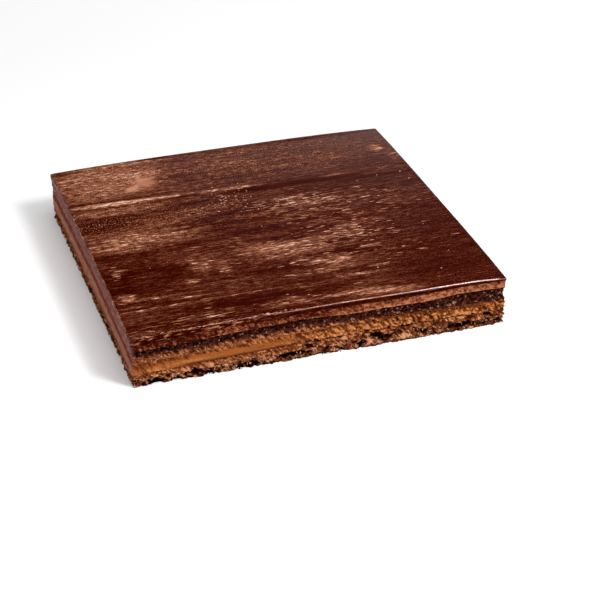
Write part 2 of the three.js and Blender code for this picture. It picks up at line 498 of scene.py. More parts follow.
@dataclass(frozen=True)
class Wall:
    """The grid of places on one layer's wall: rows from its floor to its roof, columns round the cake."""

    noise: WallNoise
    along: Array
    height: Array
    share: Array
    x: Array
    crumble: Array
    smear: Array
    front: Array
    right: Array

    @classmethod
    def between(cls, columns: Columns, noise: WallNoise, low: Array, high: Array, rows: int) -> "Wall":
        """Fill the band between two seams.

        Args:
            columns: Places round the outline.
            noise: Noise that closes round the cake.
            low: Heights of the lower seam.
            high: Heights of the upper seam.
            rows: How many bands of faces the wall gets.

        Returns:
            The wall's grid.
        """
        share = np.linspace(0, 1, rows + 1)[:, None] * np.ones_like(low)
        spread = np.ones_like(share)
        return cls(
            noise=noise,
            along=spread * columns.distance,
            height=low + (high - low) * share,
            share=share,
            x=spread * columns.x,
            crumble=spread * columns.trait("crumble"),
            smear=spread * columns.trait("smear"),
            front=spread * columns.share[Side.FRONT],
            right=spread * columns.share[Side.RIGHT],
        )

    def smooth(self, length: float, height: float, seed: int, octaves: int = 3) -> Array:
        """Layered noise on this wall, from 0 to 1."""
        return self.noise.smooth(self.along, self.height, (length, height), seed, octaves)

    def slanted(self, length: float, height: float, lean: float, seed: int) -> Array:
        """Layered noise whose lumps lean along the wall as they rise, from 0 to 1."""
        return self.noise.smooth(self.along + lean * self.height, self.height, (length, height), seed, 2)

    def clumps(self, length: float, height: float, seed: int) -> Cells:
        """Clumps on this wall."""
        return self.noise.clumps(self.along, self.height, (length, height), seed)

    def front_rise(self, span: Pair) -> Array:
        """Rise along the front over a span of x, and 0 on the other sides."""
        return self.front * eased(*span, self.x)

    def heaped(self, bits: tuple[Triple, ...], seed: int) -> tuple[Array, Array]:
        """Heap bits of several sizes on the wall.

        Args:
            bits: Length, height and greatest rise of each size of bit.
            seed: Picks one of many patterns.

        Returns:
            How far the bits stand out of the gaps, from 0 to 1, and a number from 0 to 1 for each bit.
        """
        heap, pick = np.zeros(self.along.shape), np.zeros(self.along.shape)
        for index, (length, height, rise) in enumerate(bits):
            warp = self.warped(BIT_WARP[0] * length, BIT_WARP[1] * height, seed + index)
            cells = warp.clumps(length, height, seed + 40 + index)
            stands = rise * cells.dome(BIT_REACH) * (0.3 + 0.7 * cells.pick)
            pick = np.where(stands > heap, cells.pick * BIT_SHUFFLE % 1.0, pick)
            heap = np.maximum(heap, stands)
        return np.clip((heap - HEAP_FLOOR) / HEAP_RISE, 0, 1), pick

    def hollowed(self, hollows: tuple[Hollow, ...], seed: int) -> Array:
        """Find the front's hollows on this wall.

        Args:
            hollows: The hollows.
            seed: Picks the pattern of their ragged edges.

        Returns:
            How far each place lies in a hollow, from 0 to 1.
        """
        ragged = 1.2 * (self.smooth(3.2, 2.2, seed, 2) - 0.5)
        depth = np.zeros(self.x.shape)
        for hollow in hollows:
            away = np.hypot((self.x - hollow.x) / hollow.along, (self.height - hollow.height) / hollow.up)
            depth = np.maximum(depth, eased(1.15, 0.75, away + ragged))
        return depth * self.front

    def unplaced(self) -> Array:
        """Share of hollows left to chance: fewest on the front where each has its place."""
        return 1 - 0.85 * self.front * eased(*PLACED_SPAN, self.x)

    def warped(self, along: float, up: float, seed: int) -> "Wall":
        """Shift the places about, so that what is laid on them varies in size.

        Args:
            along: Greatest shift along the wall.
            up: Greatest shift up or down.
            seed: Picks one of many patterns.

        Returns:
            The same wall with its places shifted.
        """
        shift = 2 * self.smooth(11.0, 8.0, seed, 2) - 1
        rise = 2 * self.smooth(9.0, 7.0, seed + 500, 2) - 1
        return replace(self, along=self.along + along * shift, height=self.height + up * rise)


@dataclass(frozen=True)
class Relief:
    """A layer's wall at each place: distance inside the outline, tone, and how much painted shade it gets.
    """

    inset: Array
    tone: Array
    pit: Array


def mesh_object(
    name: str, points: Array, faces: Faces, traits: dict[str, Array], sharp: float
) -> bpy.types.Object:
    """Make a shaded mesh piece that rides on the cake's body.

    Args:
        name: The piece's name.
        points: One row of x, y and z for each vertex, in millimetres.
        faces: Vertex numbers of each face.
        traits: Numbers for each vertex that its material reads, by name.
        sharp: Angle between faces, in degrees, above which an edge stays sharp.

    Returns:
        The object, in the scene.
    """
    mesh = bpy.data.meshes.new(name)
    mesh.from_pydata((points * MM).tolist(), [], faces)
    for trait, values in traits.items():
        attribute = mesh.attributes.new(trait, "FLOAT", "POINT")
        attribute.data.foreach_set("value", np.clip(values, 0, 1.5).astype(np.float32))
    mesh.shade_smooth()
    mesh.set_sharp_from_angle(angle=math.radians(sharp))
    mesh.update()
    piece = bpy.data.objects.new(name, mesh)
    bpy.context.scene.collection.objects.link(piece)
    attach(piece, BODY)
    return piece


def ring_faces(count: int, rows: int) -> Faces:
    """Faces of a closed wall of rings, lowest first.

    Args:
        count: Vertices in a ring.
        rows: Bands of faces between the rings.

    Returns:
        Four vertex numbers for each face.
    """
    faces = []
    for row in range(rows):
        low = row * count
        high = low + count
        for place in range(count):
            following = (place + 1) % count
            faces.append((low + place, low + following, high + following, high + place))
    return faces


def fan_faces(start: int, count: int, middle: int, upward: bool) -> Faces:
    """Faces from a ring to its middle point.

    Args:
        start: First vertex of the ring.
        count: Vertices in the ring.
        middle: The middle vertex.
        upward: Whether the faces look up.

    Returns:
        One triangle for each step of the ring.
    """
    pairs = [(start + place, start + (place + 1) % count) for place in range(count)]
    return [(a, b, middle) if upward else (b, a, middle) for a, b in pairs]


class Gathering:
    """Many small closed shapes that become one mesh, each with numbers of its own for the finish."""

    def __init__(self) -> None:
        """Start without shapes."""
        self.points: list[Array] = []
        self.faces: Faces = []
        self.traits: dict[str, list[Array]] = {}
        self.count = 0

    def add(self, points: Array, faces: Faces, **traits: float) -> None:
        """Add one shape.

        Args:
            points: Its vertices, in millimetres.
            faces: Vertex numbers of its faces, counted from 0.
            **traits: Numbers that its material reads, by name.
        """
        self.points.append(points)
        self.faces += [tuple(self.count + corner for corner in face) for face in faces]
        for trait, value in traits.items():
            self.traits.setdefault(trait, []).append(np.full(len(points), value))
        self.count += len(points)

    def piece(self, name: str, sharp: float) -> bpy.types.Object:
        """Make one piece of all the shapes, as mesh_object does."""
        traits = {trait: np.concatenate(values) for trait, values in self.traits.items()}
        return mesh_object(name, np.concatenate(self.points), self.faces, traits, sharp)


class Tree:
    """A node tree with short ways to add, set and join nodes."""

    def __init__(self, tree: bpy.types.NodeTree) -> None:
        """Take over a tree."""
        self.tree = tree

    def add(self, kind: str, **settings: object) -> bpy.types.Node:
        """Add a node.

        Args:
            kind: The node's type.
            **settings: Its properties, by name.

        Returns:
            The node.
        """
        node = self.tree.nodes.new(kind)
        for name, value in settings.items():
            setattr(node, name, value)
        return node

    def feed(self, target: Socket, source: "Socket | float | Colour | Triple") -> None:
        """Join a socket to another, or set it to a constant.

        Args:
            target: The input socket.
            source: The output socket that feeds it, or its constant.
        """
        if isinstance(source, bpy.types.NodeSocket):
            self.tree.links.new(source, target)
        else:
            target.default_value = source

    def feed_all(self, node: bpy.types.Node, sources: "dict[str, Socket | float | Colour | Triple]") -> None:
        """Feed several inputs of a node, each by its name."""
        for name, source in sources.items():
            self.feed(node.inputs[name], source)

    def math(self, operation: str, first: "Socket | float", second: "Socket | float") -> Socket:
        """Add a sum of two numbers.

        Args:
            operation: The kind of sum.
            first: The first number.
            second: The second number.

        Returns:
            The result.
        """
        node = self.add("ShaderNodeMath", operation=operation)
        self.feed(node.inputs[0], first)
        self.feed(node.inputs[1], second)
        return node.outputs[0]

    def product(self, *factors: "Socket | float") -> Socket:
        """Multiply several numbers, from the first to the last.

        Args:
            *factors: The numbers, at least two.

        Returns:
            The result.
        """
        result = factors[0]
        for factor in factors[1:]:
            result = self.math("MULTIPLY", result, factor)
        return result

    def ease(self, value: Socket, low: float, high: float) -> Socket:
        """Add a smooth rise from 0 to 1.

        Args:
            value: What it follows.
            low: Value where it is 0.
            high: Value where it is 1.

        Returns:
            The rise.
        """
        node = self.add("ShaderNodeMapRange", interpolation_type="SMOOTHSTEP")
        self.feed_all(node, {"Value": value, "From Min": low, "From Max": high})
        return node.outputs["Result"]

    def blend(self, share: "Socket | float", first: "Socket | Colour", second: "Socket | Colour") -> Socket:
        """Add a mix of two colours.

        Args:
            share: Share of the second colour.
            first: The first colour.
            second: The second colour.

        Returns:
            The mixed colour.
        """
        node = self.add("ShaderNodeMix", data_type="RGBA", clamp_factor=True)
        self.feed(node.inputs["Factor"], share)
        self.feed(node.inputs[6], first)
        self.feed(node.inputs[7], second)
        return node.outputs[2]

    def trait(self, name: str) -> Socket:
        """Read a number that the mesh carries at its vertices."""
        return self.add("ShaderNodeAttribute", attribute_name=name).outputs["Fac"]

    def place(self, stretch: Triple) -> Socket:
        """Add object coordinates.

        Args:
            stretch: Scale of each axis.

        Returns:
            The scaled coordinates.
        """
        node = self.add("ShaderNodeMapping")
        source = self.add("ShaderNodeTexCoord").outputs["Object"]
        self.feed_all(node, {"Vector": source, "Scale": stretch})
        return node.outputs["Vector"]

    def noise(self, scale: "Socket | float", detail: float, stretch: Triple) -> Socket:
        """Add layered noise from 0 to 1 on object coordinates.

        Args:
            scale: How fine it is.
            detail: How many finer copies it has.
            stretch: Scale of each axis.

        Returns:
            The noise.
        """
        node = self.add("ShaderNodeTexNoise")
        self.feed_all(node, {"Vector": self.place(stretch), "Scale": scale, "Detail": detail})
        return node.outputs["Fac"]

    def wander(self, scale: "Socket | float", detail: float, stretch: Triple) -> Socket:
        """Add the same noise, but about 0."""
        return self.math("SUBTRACT", self.noise(scale, detail, stretch), 0.5)

    def bump(self, height: Socket, strength: float, depth: float) -> Socket:
        """Add fine unevenness.

        Args:
            height: Its height, from 0 to 1.
            strength: Its strength, from 0 to 1.
            depth: Its full height in millimetres.

        Returns:
            The uneven normal.
        """
        node = self.add("ShaderNodeBump")
        self.feed_all(node, {"Strength": strength, "Distance": depth * MM, "Height": height})
        return node.outputs["Normal"]


def new_material(name: str) -> tuple[bpy.types.Material, Tree, bpy.types.Node]:
    """Start a material.

    Args:
        name: The material's name.

    Returns:
        The material, its tree and its shader.
    """
    made = bpy.data.materials.new(name)
    made.use_nodes = True
    return made, Tree(made.node_tree), made.node_tree.nodes["Principled BSDF"]


EVEN: Triple = (1.0, 1.0, 1.0)
NUMBER = "NodeSocketFloat"
COLOUR = "NodeSocketColor"


class Effects:
    """Node groups that several finishes share, built once."""

    def __init__(self) -> None:
        """Build all the groups."""
        self.crumb_colour = self.make_crumb_colour()
        self.crumb_height = self.make_crumb_height()
        self.smear_sheen_colour = self.make_smear_sheen_colour()

    @staticmethod
    def new_group(name: str, inputs: dict[str, str], outputs: dict[str, str]) -> tuple[Tree, dict, dict]:
        """Start a group.

        Args:
            name: The group's name.
            inputs: Kind of each named input socket.
            outputs: Kind of each named output socket.

        Returns:
            The group's tree, its inputs as seen inside and its outputs as seen inside.
        """
        group = bpy.data.node_groups.new(name, "ShaderNodeTree")
        for side, sockets in (("INPUT", inputs), ("OUTPUT", outputs)):
            for socket, kind in sockets.items():
                group.interface.new_socket(socket, in_out=side, socket_type=kind)
        tree = Tree(group)
        return tree, tree.add("NodeGroupInput").outputs, tree.add("NodeGroupOutput").inputs

    def make_crumb_colour(self) -> bpy.types.NodeTree:
        """Colour from tone: dark, middle and light crumb with specks, and painted shade where the wall is
        pitted.

        Returns:
            The group.
        """
        inputs = dict.fromkeys(("Tone", "Pit Shade"), NUMBER)
        inputs |= dict.fromkeys(("Dark", "Middle", "Light", "Shade Colour"), COLOUR)
        inputs |= dict.fromkeys(("Speck Scale", "Speck Depth"), NUMBER)
        tree, given, out = self.new_group("crumb_colour", inputs, {"Color": COLOUR})
        speck = tree.product(tree.wander(given["Speck Scale"], 3.0, EVEN), given["Speck Depth"])
        tone = tree.math("ADD", given["Tone"], speck)
        shaded = tree.blend(tree.ease(tone, 0.0, 0.5), given["Dark"], given["Middle"])
        shaded = tree.blend(tree.ease(tone, 0.5, 1.0), shaded, given["Light"])
        tree.feed(out["Color"], tree.blend(given["Pit Shade"], shaded, given["Shade Colour"]))
        return tree.tree

    def make_crumb_height(self) -> bpy.types.NodeTree:
        """Fine unevenness too small for the mesh: grains with a little layered noise.

        Returns:
            The group.
        """
        inputs = {"Scale": NUMBER, "Grain": NUMBER}
        tree, given, out = self.new_group("crumb_height", inputs, {"Height": NUMBER})
        cells = tree.add("ShaderNodeTexVoronoi", feature="SMOOTH_F1")
        tree.feed_all(cells, {"Vector": tree.place(EVEN), "Scale": given["Scale"]})
        grains = tree.product(cells.outputs["Distance"], given["Grain"])
        fine = tree.noise(tree.product(given["Scale"], 1.7), 4.0, EVEN)
        tree.feed(out["Height"], tree.math("SUBTRACT", fine, grains))
        return tree.tree

    def make_smear_sheen_colour(self) -> bpy.types.NodeTree:
        """A film dragged along the side by the blade in long level streaks over the layer's own colour, with
        painted sheen.

        Returns:
            The group.
        """
        inputs = {"Color": COLOUR, "Smear": NUMBER, "Sheen Film": COLOUR, "Cover": NUMBER}
        tree, given, out = self.new_group("smear_sheen_colour", inputs, {"Color": COLOUR})
        streak = tree.product(tree.wander(90.0, 3.0, (0.35, 0.35, 4.0)), 0.8)
        share = tree.product(given["Smear"], tree.math("ADD", given["Cover"], streak))
        scrape = tree.ease(tree.noise(150.0, 2.0, (0.9, 0.9, 4.0)), 0.6, 0.4)
        deeper = tree.add("ShaderNodeVectorMath", operation="MULTIPLY")
        tree.feed(deeper.inputs[0], given["Sheen Film"])
        tree.feed(deeper.inputs[1], (0.55, 0.45, 0.42))
        film = tree.blend(scrape, given["Sheen Film"], deeper.outputs[0])
        tree.feed(out["Color"], tree.blend(share, given["Color"], film))
        return tree.tree


@dataclass(frozen=True)
class CrumbFinish:
    """The finish of a layer's wall: tone colours, painted shade in hollows, smear film with a painted
    reflection, grain, gloss.
    """

    dark: Colour
    middle: Colour
    light: Colour
    # Near-black painted shade for hollows, grooves, cracks and pores
    gap: Colour
    # Film colour: the smear itself, with a painted lilac reflection of the bright surroundings
    film: Colour
    film_cover: float
    roughness: float
    grain_scale: float
    grain_depth: float
    speck_depth: float
    specular: float = 0.0
    grain_share: float = 0.8
    bump_strength: float = 0.7

    def material(self, name: str, effects: Effects) -> bpy.types.Material:
        """Build the material.

        Args:
            name: The material's name.
            effects: The shared node groups.

        Returns:
            The material.
        """
        made, tree, shader = new_material(name)
        colour = tree.add("ShaderNodeGroup", node_tree=effects.crumb_colour)
        tree.feed_all(colour, {"Tone": tree.trait("tone"), "Pit Shade": tree.trait("pit")})
        tree.feed_all(colour, {"Dark": self.dark, "Middle": self.middle})
        tree.feed_all(colour, {"Light": self.light, "Shade Colour": self.gap})
        tree.feed_all(colour, {"Speck Scale": self.grain_scale, "Speck Depth": self.speck_depth})
        smear = tree.add("ShaderNodeGroup", node_tree=effects.smear_sheen_colour)
        tree.feed_all(smear, {"Color": colour.outputs["Color"], "Smear": tree.trait("smear")})
        tree.feed_all(smear, {"Sheen Film": self.film, "Cover": self.film_cover})
        height = tree.add("ShaderNodeGroup", node_tree=effects.crumb_height)
        tree.feed_all(height, {"Scale": self.grain_scale, "Grain": self.grain_share})
        uneven = tree.bump(height.outputs["Height"], self.bump_strength, self.grain_depth)
        tree.feed_all(shader, {"Base Color": smear.outputs["Color"], "Normal": uneven})
        tree.feed_all(shader, {"Roughness": self.roughness, "Specular IOR Level": self.specular})
        return made


@dataclass
class Layer:
    """A layer of the cake: its floor seam, how finely its wall is cut, and how deep the wall may lie."""

    node: str
    floor: int
    rows: int
    finish: CrumbFinish
    spacing: float = 0.56
    shallowest: float = 0.12
    deepest: float = 3.4
    sharp: float = 62.0

    def relief(self, wall: Wall) -> Relief:
        """Say what the wall is like at each place; each kind of layer has its own."""
        raise NotImplementedError

    def build(self, outline: Outline, stack: Stack, effects: Effects) -> bpy.types.Object:
        """Build the layer's closed mesh and dress it.

        Args:
            outline: The cake's plan.
            stack: The heights of the seams.
            effects: The shared node groups.

        Returns:
            The piece that stands for the layer's node.
        """
        columns = outline.spaced_columns(self.spacing)
        low = stack.seam_height(self.floor, columns)
        high = stack.seam_height(self.floor + 1, columns)
        wall = Wall.between(columns, stack.noise, low, high, self.rows)
        relief = self.relief(wall)
        inset = np.clip(relief.inset, self.shallowest, self.deepest)
        x, y = columns.inside(inset, wall.height)
        middles = [[0, 0, stack.seams[self.floor].height], [0, 0, stack.seams[self.floor + 1].height]]
        points = np.concatenate([np.stack([x, y, wall.height], axis=-1).reshape(-1, 3), middles])
        count = len(columns.x)
        floor_middle = (self.rows + 1) * count
        faces = ring_faces(count, self.rows)
        faces += fan_faces(0, count, floor_middle, upward=False)
        faces += fan_faces(self.rows * count, count, floor_middle + 1, upward=True)
        traits = {
            "tone": np.append(relief.tone.ravel(), [0.5, 0.5]),
            "pit": np.append(np.clip(relief.pit, 0, 1).ravel(), [0, 0]),
            "smear": np.append(wall.smear.ravel(), [0, 0]),
        }
        piece = mesh_object(f"{self.node}_wall", points, faces, traits, self.sharp)
        piece.data.materials.append(self.finish.material(f"{self.node}_finish", effects))
        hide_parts(self.node)
        return piece


@dataclass
class CrunchBase(Layer):
    """Crumbs of uneven size, heaped with hollows between them painted dark as shade, and darker towards the
    foot as painted shade.
    """

    bits: tuple[Triple, ...] = ((6.4, 3.6, 1.0), (3.2, 2.2, 0.85), (1.7, 1.4, 0.65))
    lumps: tuple[Triple, ...] = ((9.0, 5.2, 1.0), (4.4, 3.0, 0.85), (2.0, 1.6, 0.6))
    lumpy: Pair = (-16.0, 6.0)
    notched: Pair = (2.4, 0.2)
    shaded: Pair = (3.0, 0.3)

    def relief(self, wall: Wall) -> Relief:
        """Heap the bits, with leaning shreds, long hollows in the front, and a notched lower edge.

        Args:
            wall: The layer's wall.

        Returns:
            What it is like at each place.
        """
        heap, pick = wall.heaped(self.bits, seed=110)
        lump, lump_pick = wall.heaped(self.lumps, seed=150)
        lumpy = wall.front_rise(self.lumpy) + 0.5 * wall.right
        heap, pick = mixed(heap, lump, lumpy), np.where(lumpy > 0.4, lump_pick, pick)
        grain = (wall.slanted(1.3, 2.4, 0.9, seed=13) - 0.5) * (1 - 0.3 * lumpy)
        chance = eased(0.56, 0.66, wall.smooth(13.0, 4.0, seed=14, octaves=2)) * eased(0.0, 0.2, wall.share)
        hollow = np.maximum(0.6 * chance * wall.unplaced(), wall.hollowed(HOLLOWS, HOLLOWS_SEED))
        notch = eased(0.5, 0.7, wall.smooth(8.0, 40.0, seed=15)) * eased(*self.notched, wall.height)
        heap = np.clip(heap - 0.7 * hollow, 0, 1)
        inset = 2.1 - 1.9 * heap + 1.3 * grain + 1.1 * hollow + 1.2 * notch
        # Painted light and shade: bits that stand out are lighter, and the foot is darker
        tone = 0.16 + heap * (0.36 + 0.7 * pick) + 2.2 * grain - 0.3 * eased(*self.shaded, wall.height)
        shred = eased(0.08, 0.24, grain)
        # Painted shade: low places between bits, hollows, the notched foot and shreds
        pit = np.clip(0.9 * eased(0.2, 0.02, heap) + 0.85 * hollow + 0.8 * notch + 0.6 * shred, 0, 1)
        return Relief(mixed(inset, 1.3 + 0.5 * (inset - 1.3), 0.4 * wall.smear), tone, pit)


@dataclass
class LowerMousse(Layer):
    """Crumbly mousse under the caramel, torn into lumps on the right of the front."""

    bits: tuple[Triple, ...] = ((7.6, 4.6, 1.0), (3.4, 2.4, 0.8), (1.7, 1.3, 0.6))
    torn: Pair = (-12.0, 14.0)

    def relief(self, wall: Wall) -> Relief:
        """Heap lumps, coarser downwards and to the right, with hollows and a groove under the caramel.

        Args:
            wall: The layer's wall.

        Returns:
            What it is like at each place.
        """
        cut = 1 - 0.6 * wall.smear
        torn = wall.front_rise(self.torn) + 0.8 * wall.right
        rough = (0.45 + 0.4 * eased(0.7, 0.1, wall.share) + 0.5 * torn) * cut
        heap, pick = wall.heaped(self.bits, seed=120)
        grain = wall.slanted(1.4, 2.2, 0.9, seed=23) - 0.5
        chance = eased(0.54, 0.66, wall.smooth(12.0, 5.0, seed=24)) * torn * eased(1.0, 0.8, wall.share)
        hollow = np.maximum(chance * wall.unplaced(), wall.hollowed(HOLLOWS, HOLLOWS_SEED))
        groove = eased(0.8, 0.94, wall.share) * cut
        heap = np.clip(heap - 0.7 * hollow, 0, 1)
        crack = eased(0.2, 0.02, heap) * (0.35 + 0.65 * torn) * cut
        crack = crack * eased(1.0, 0.5, wall.share - 0.4 * torn)
        inset = 1.0 + rough * (0.7 - 1.7 * heap + 1.0 * grain) + 1.2 * hollow + 0.7 * groove
        lumps = mixed(0.3 + 0.5 * eased(0.6, 0.0, wall.share), 1.0, torn)
        # Painted light and shade: lumps that stand out are lighter and the rest darker, most where torn
        tone = 0.4 - 0.26 * torn + lumps * (heap * (0.4 + 0.8 * pick) - 0.3 * (1 - torn)) + 1.7 * grain
        # Painted shade in hollows and cracks, and a painted shadow line in the groove under the caramel
        pit = np.clip(0.9 * hollow + 0.8 * crack + 0.9 * groove, 0, 1)
        return Relief(inset, tone, pit)


@dataclass
class Caramel(Layer):
    """Amber caramel: cut smooth on the left of the front, torn on the right of it and on the right side.

    Along the front it is shaggy at the left end, smeared darker near there, dimmer to the right, and
    undercut where both spans of undercut are full, with painted shade in the undercut.
    """

    bits: tuple[Triple, ...] = ((4.8, 3.0, 1.0), (2.3, 1.7, 0.85))
    torn: Pair = (-60.0, 20.0)
    shaggy: Pair = (-100.0, -130.0)
    smeared: Pair = (-80.0, -115.0)
    dimmer: Pair = (50.0, 130.0)
    undercut: Pairs = ((-118.0, -98.0), (0.0, -20.0))

    def relief(self, wall: Wall) -> Relief:
        """Cut it smooth with faint ripples, or with leaning hairs above lumps and level tears where torn.

        Args:
            wall: The layer's wall.

        Returns:
            What it is like at each place.
        """
        torn = wall.front_rise(self.torn) + 0.9 * wall.right
        torn = np.clip(torn * (0.6 + 0.8 * wall.smooth(18.0, 9.0, seed=30)), 0, 1)
        hairs = wall.slanted(1.2, 3.2, 0.7, seed=31) - 0.5
        grain = wall.smooth(1.1, 1.0, seed=37, octaves=2) - 0.5
        shag = np.maximum(eased(0.5, 0.95, wall.share), 0.5 * eased(*self.shaggy, wall.x))
        shag = shag * wall.front * (1 - torn)
        heap, pick = wall.heaped(self.bits, seed=132)
        tear = eased(0.86, 0.97, 1 - np.abs(2 * wall.smooth(9.0, 2.4, seed=36, octaves=2) - 1))
        lower = 1 - 0.5 * eased(0.3, 0.7, wall.share)
        ripple = wall.smooth(16.0, 2.6, seed=33) - 0.5
        bubble = wall.clumps(9.0, 6.0, seed=34)
        bubbles = eased(0.84, 0.88, bubble.pick) * eased(0.26, 0.1, bubble.near) * (1 - wall.smear)
        crest = eased(0.14, 0.0, wall.share) * (1 - torn) * (1 - wall.smear)
        inset = 0.65 + 0.4 * ripple + 0.3 * bubbles - 0.25 * crest
        inset = inset + torn * (2.6 * hairs + 1.4 * (0.5 - heap) * lower + 0.6 * tear) + 1.6 * shag * hairs
        tone = 0.72 - 0.4 * wall.share + 0.5 * ripple + 0.4 * (wall.smooth(34.0, 3.0, seed=35) - 0.5)
        tone = tone + torn * (0.8 * heap * (pick + 0.2) - 0.36 - 2.6 * hairs + 1.2 * grain) - 0.2 * bubbles
        tone = tone - 0.2 * wall.front_rise(self.dimmer) - 2.0 * shag * hairs
        tone = tone - 0.3 * wall.front_rise(self.smeared) * eased(0.25, 0.6, wall.share)
        tone = tone + torn * (0.3 * eased(0.05, 0.3, wall.share) - 0.7 * eased(0.55, 0.95, wall.share))
        # Painted shade along the caramel's foot where it is undercut on the front
        under = wall.front * eased(0.2, 0.06, wall.share)
        for span in self.undercut:
            under = under * eased(*span, wall.x)
        # Painted shade in tears, low places, between hairs, in bubbles and in the undercut
        pit = torn * (0.6 * tear + 0.8 * eased(0.2, 0.0, heap) * lower + 0.6 * eased(0.08, 0.24, hairs))
        pit = pit + 0.3 * bubbles + 0.7 * shag * eased(0.05, 0.2, hairs) + 0.35 * under
        return Relief(inset + 0.4 * under, tone - 0.5 * under, np.clip(pit, 0, 1))


@dataclass
class MiddleMousse(Layer):
    """Mousse with leaning marks of the blade, dark towards the sponge and lighter towards the caramel.

    fade gives pairs of the share of its height and its tone there. dimmer is where the front grows darker.
    """

    fade: Pairs = ((0.0, 0.64), (0.35, 0.52), (0.7, 0.3), (1.0, 0.06))
    dimmer: Pair = (20.0, 60.0)

    def relief(self, wall: Wall) -> Relief:
        """Draw fine leaning hairs in bunches over soft lumps.

        Args:
            wall: The layer's wall.

        Returns:
            What it is like at each place.
        """
        hairs = wall.slanted(1.5, 3.4, 0.95, seed=41) - 0.5
        nibs = wall.warped(1.6, 1.2, seed=44).clumps(1.5, 1.2, seed=45)
        bunch = eased(0.25, 0.6, wall.smooth(12.0, 20.0, seed=42))
        lumps = wall.smooth(4.0, 2.6, seed=43) - 0.5
        cut = (1 - 0.85 * wall.smear) * (0.5 + 0.5 * bunch) * eased(0.0, 0.35, wall.share)
        right = wall.front_rise(self.dimmer) + wall.right
        inset = 0.95 + cut * (1.8 * hairs - 0.4 * nibs.dome(0.7)) + 0.5 * lumps * wall.crumble
        tone = np.interp(wall.share, *zip(*self.fade)) * (1 - wall.smear) + 0.4 * wall.smear
        tone = tone + cut * (0.4 * (nibs.pick - 0.4) * nibs.dome(0.8) - 2.0 * hairs) + 0.4 * lumps
        tone = tone - 0.34 * right
        # Painted shade between the hairs and the nibs, and in the upper part on the darker right
        pit = cut * (0.7 * eased(0.1, 0.28, hairs) + 0.4 * eased(0.16, 0.02, nibs.gap))
        return Relief(inset, tone, np.clip(pit + 0.3 * right * eased(0.5, 1.0, wall.share), 0, 1))


@dataclass
class Sponge(Layer):
    """Dark sponge, set back from the wall and full of pores."""

    def relief(self, wall: Wall) -> Relief:
        """Scatter pores and crumbs, with painted glints on a few of the crumbs.

        Args:
            wall: The layer's wall.

        Returns:
            What it is like at each place.
        """
        warp = wall.warped(1.6, 1.2, seed=50)
        pores = warp.clumps(2.3, 1.8, seed=51)
        crumbs = warp.clumps(1.3, 1.1, seed=52)
        lumps = wall.smooth(5.0, 3.0, seed=53) - 0.5
        cut = 1 - 0.85 * wall.smear
        porous = eased(0.4, 0.6, pores.pick) * eased(0.66, 0.25, pores.near)
        edge = np.minimum(wall.share, 1 - wall.share)
        back = 1.1 * eased(0.0, 0.22, edge) + 1.3 * porous - 0.6 * crumbs.dome(0.7) + 1.3 * lumps
        # Painted glints: a few crumbs made light as if they catch the light
        painted_glints = eased(0.82, 0.96, crumbs.pick) * crumbs.dome(0.7)
        tone = 0.2 + 0.4 * lumps + 0.4 * (crumbs.pick - 0.4) * crumbs.dome(0.8) + 0.6 * painted_glints
        tone = tone + 0.16 * eased(0.2, 0.0, wall.share)
        # Painted shade in the pores
        return Relief(0.9 + cut * back, tone, cut * porous * 0.9)


@dataclass
class TopMousse(Layer):
    """Smooth mousse under the glaze, which was dragged down over it in places on the front.

    veiled says how much darker the mousse is at an x, film at what height the glaze on it ends there, and
    dragged where the upright drags begin.
    """

    darker_at: Pairs = (
        (-143.0, 0.62), (-105.0, 0.62), (-75.0, 0.3), (-45.0, 0.4),
        (-20.0, 0.5), (0.0, 0.4), (16.0, 0.04), (143.0, 0.0),
    )
    film: Pairs = (
        (-143.0, 35.4), (-95.0, 35.6), (-60.0, 36.6), (0.0, 36.8), (14.0, 36.2),
        (50.0, 36.1), (80.0, 36.3), (100.0, 37.6), (115.0, 38.4), (143.0, 38.4),
    )
    dragged: Pair = (-30.0, -80.0)

    def relief(self, wall: Wall) -> Relief:
        """Cut it smooth with level ripples, upright drags at the left, and a film of glaze along its top.

        Args:
            wall: The layer's wall.

        Returns:
            What it is like at each place.
        """
        ripple = wall.smooth(12.0, 1.8, seed=61) - 0.5
        grain = wall.slanted(1.6, 1.6, 0.8, seed=62) - 0.5
        left = wall.front_rise(self.dragged)
        # Darker on the front, by x
        darkening = wall.front * np.interp(wall.x, *zip(*self.darker_at)) * (0.8 + 0.4 * eased(0.2, 0.9, wall.share))
        drags = wall.slanted(1.7, 14.0, 0.2, seed=63) - 0.5
        cut = 1 - 0.8 * wall.smear
        level = np.interp(wall.x, *zip(*self.film)) + 1.6 * (wall.smooth(14.0, 90.0, seed=65) - 0.5)
        film = wall.front * eased(-0.5, 0.4, wall.height - level)
        lip = eased(0.16, 0.0, wall.share) * cut
        inset = 0.65 + cut * (0.5 * ripple + 0.3 * grain + 0.8 * left * drags) - 0.3 * lip - 0.2 * film
        # Painted highlight: the lip at the foot of the mousse is lighter
        tone = 0.68 + 0.9 * ripple + 1.3 * grain - darkening - 1.4 * left * drags + 0.25 * lip * (1 - darkening)
        chip = eased(0.72, 0.84, wall.smooth(3.4, 1.6, seed=64)) * cut
        # Painted shade in the chips
        return Relief(inset + 0.4 * chip, mixed(tone - 0.3 * chip, 0.06 + 0.3 * ripple, film), 0.25 * chip)


# Shares of a patch's size between which it fades out, for most patches and for the dull ones
SOFT_EDGE = (1.35, 0.45)
DULL_EDGE = (1.2, 0.65)


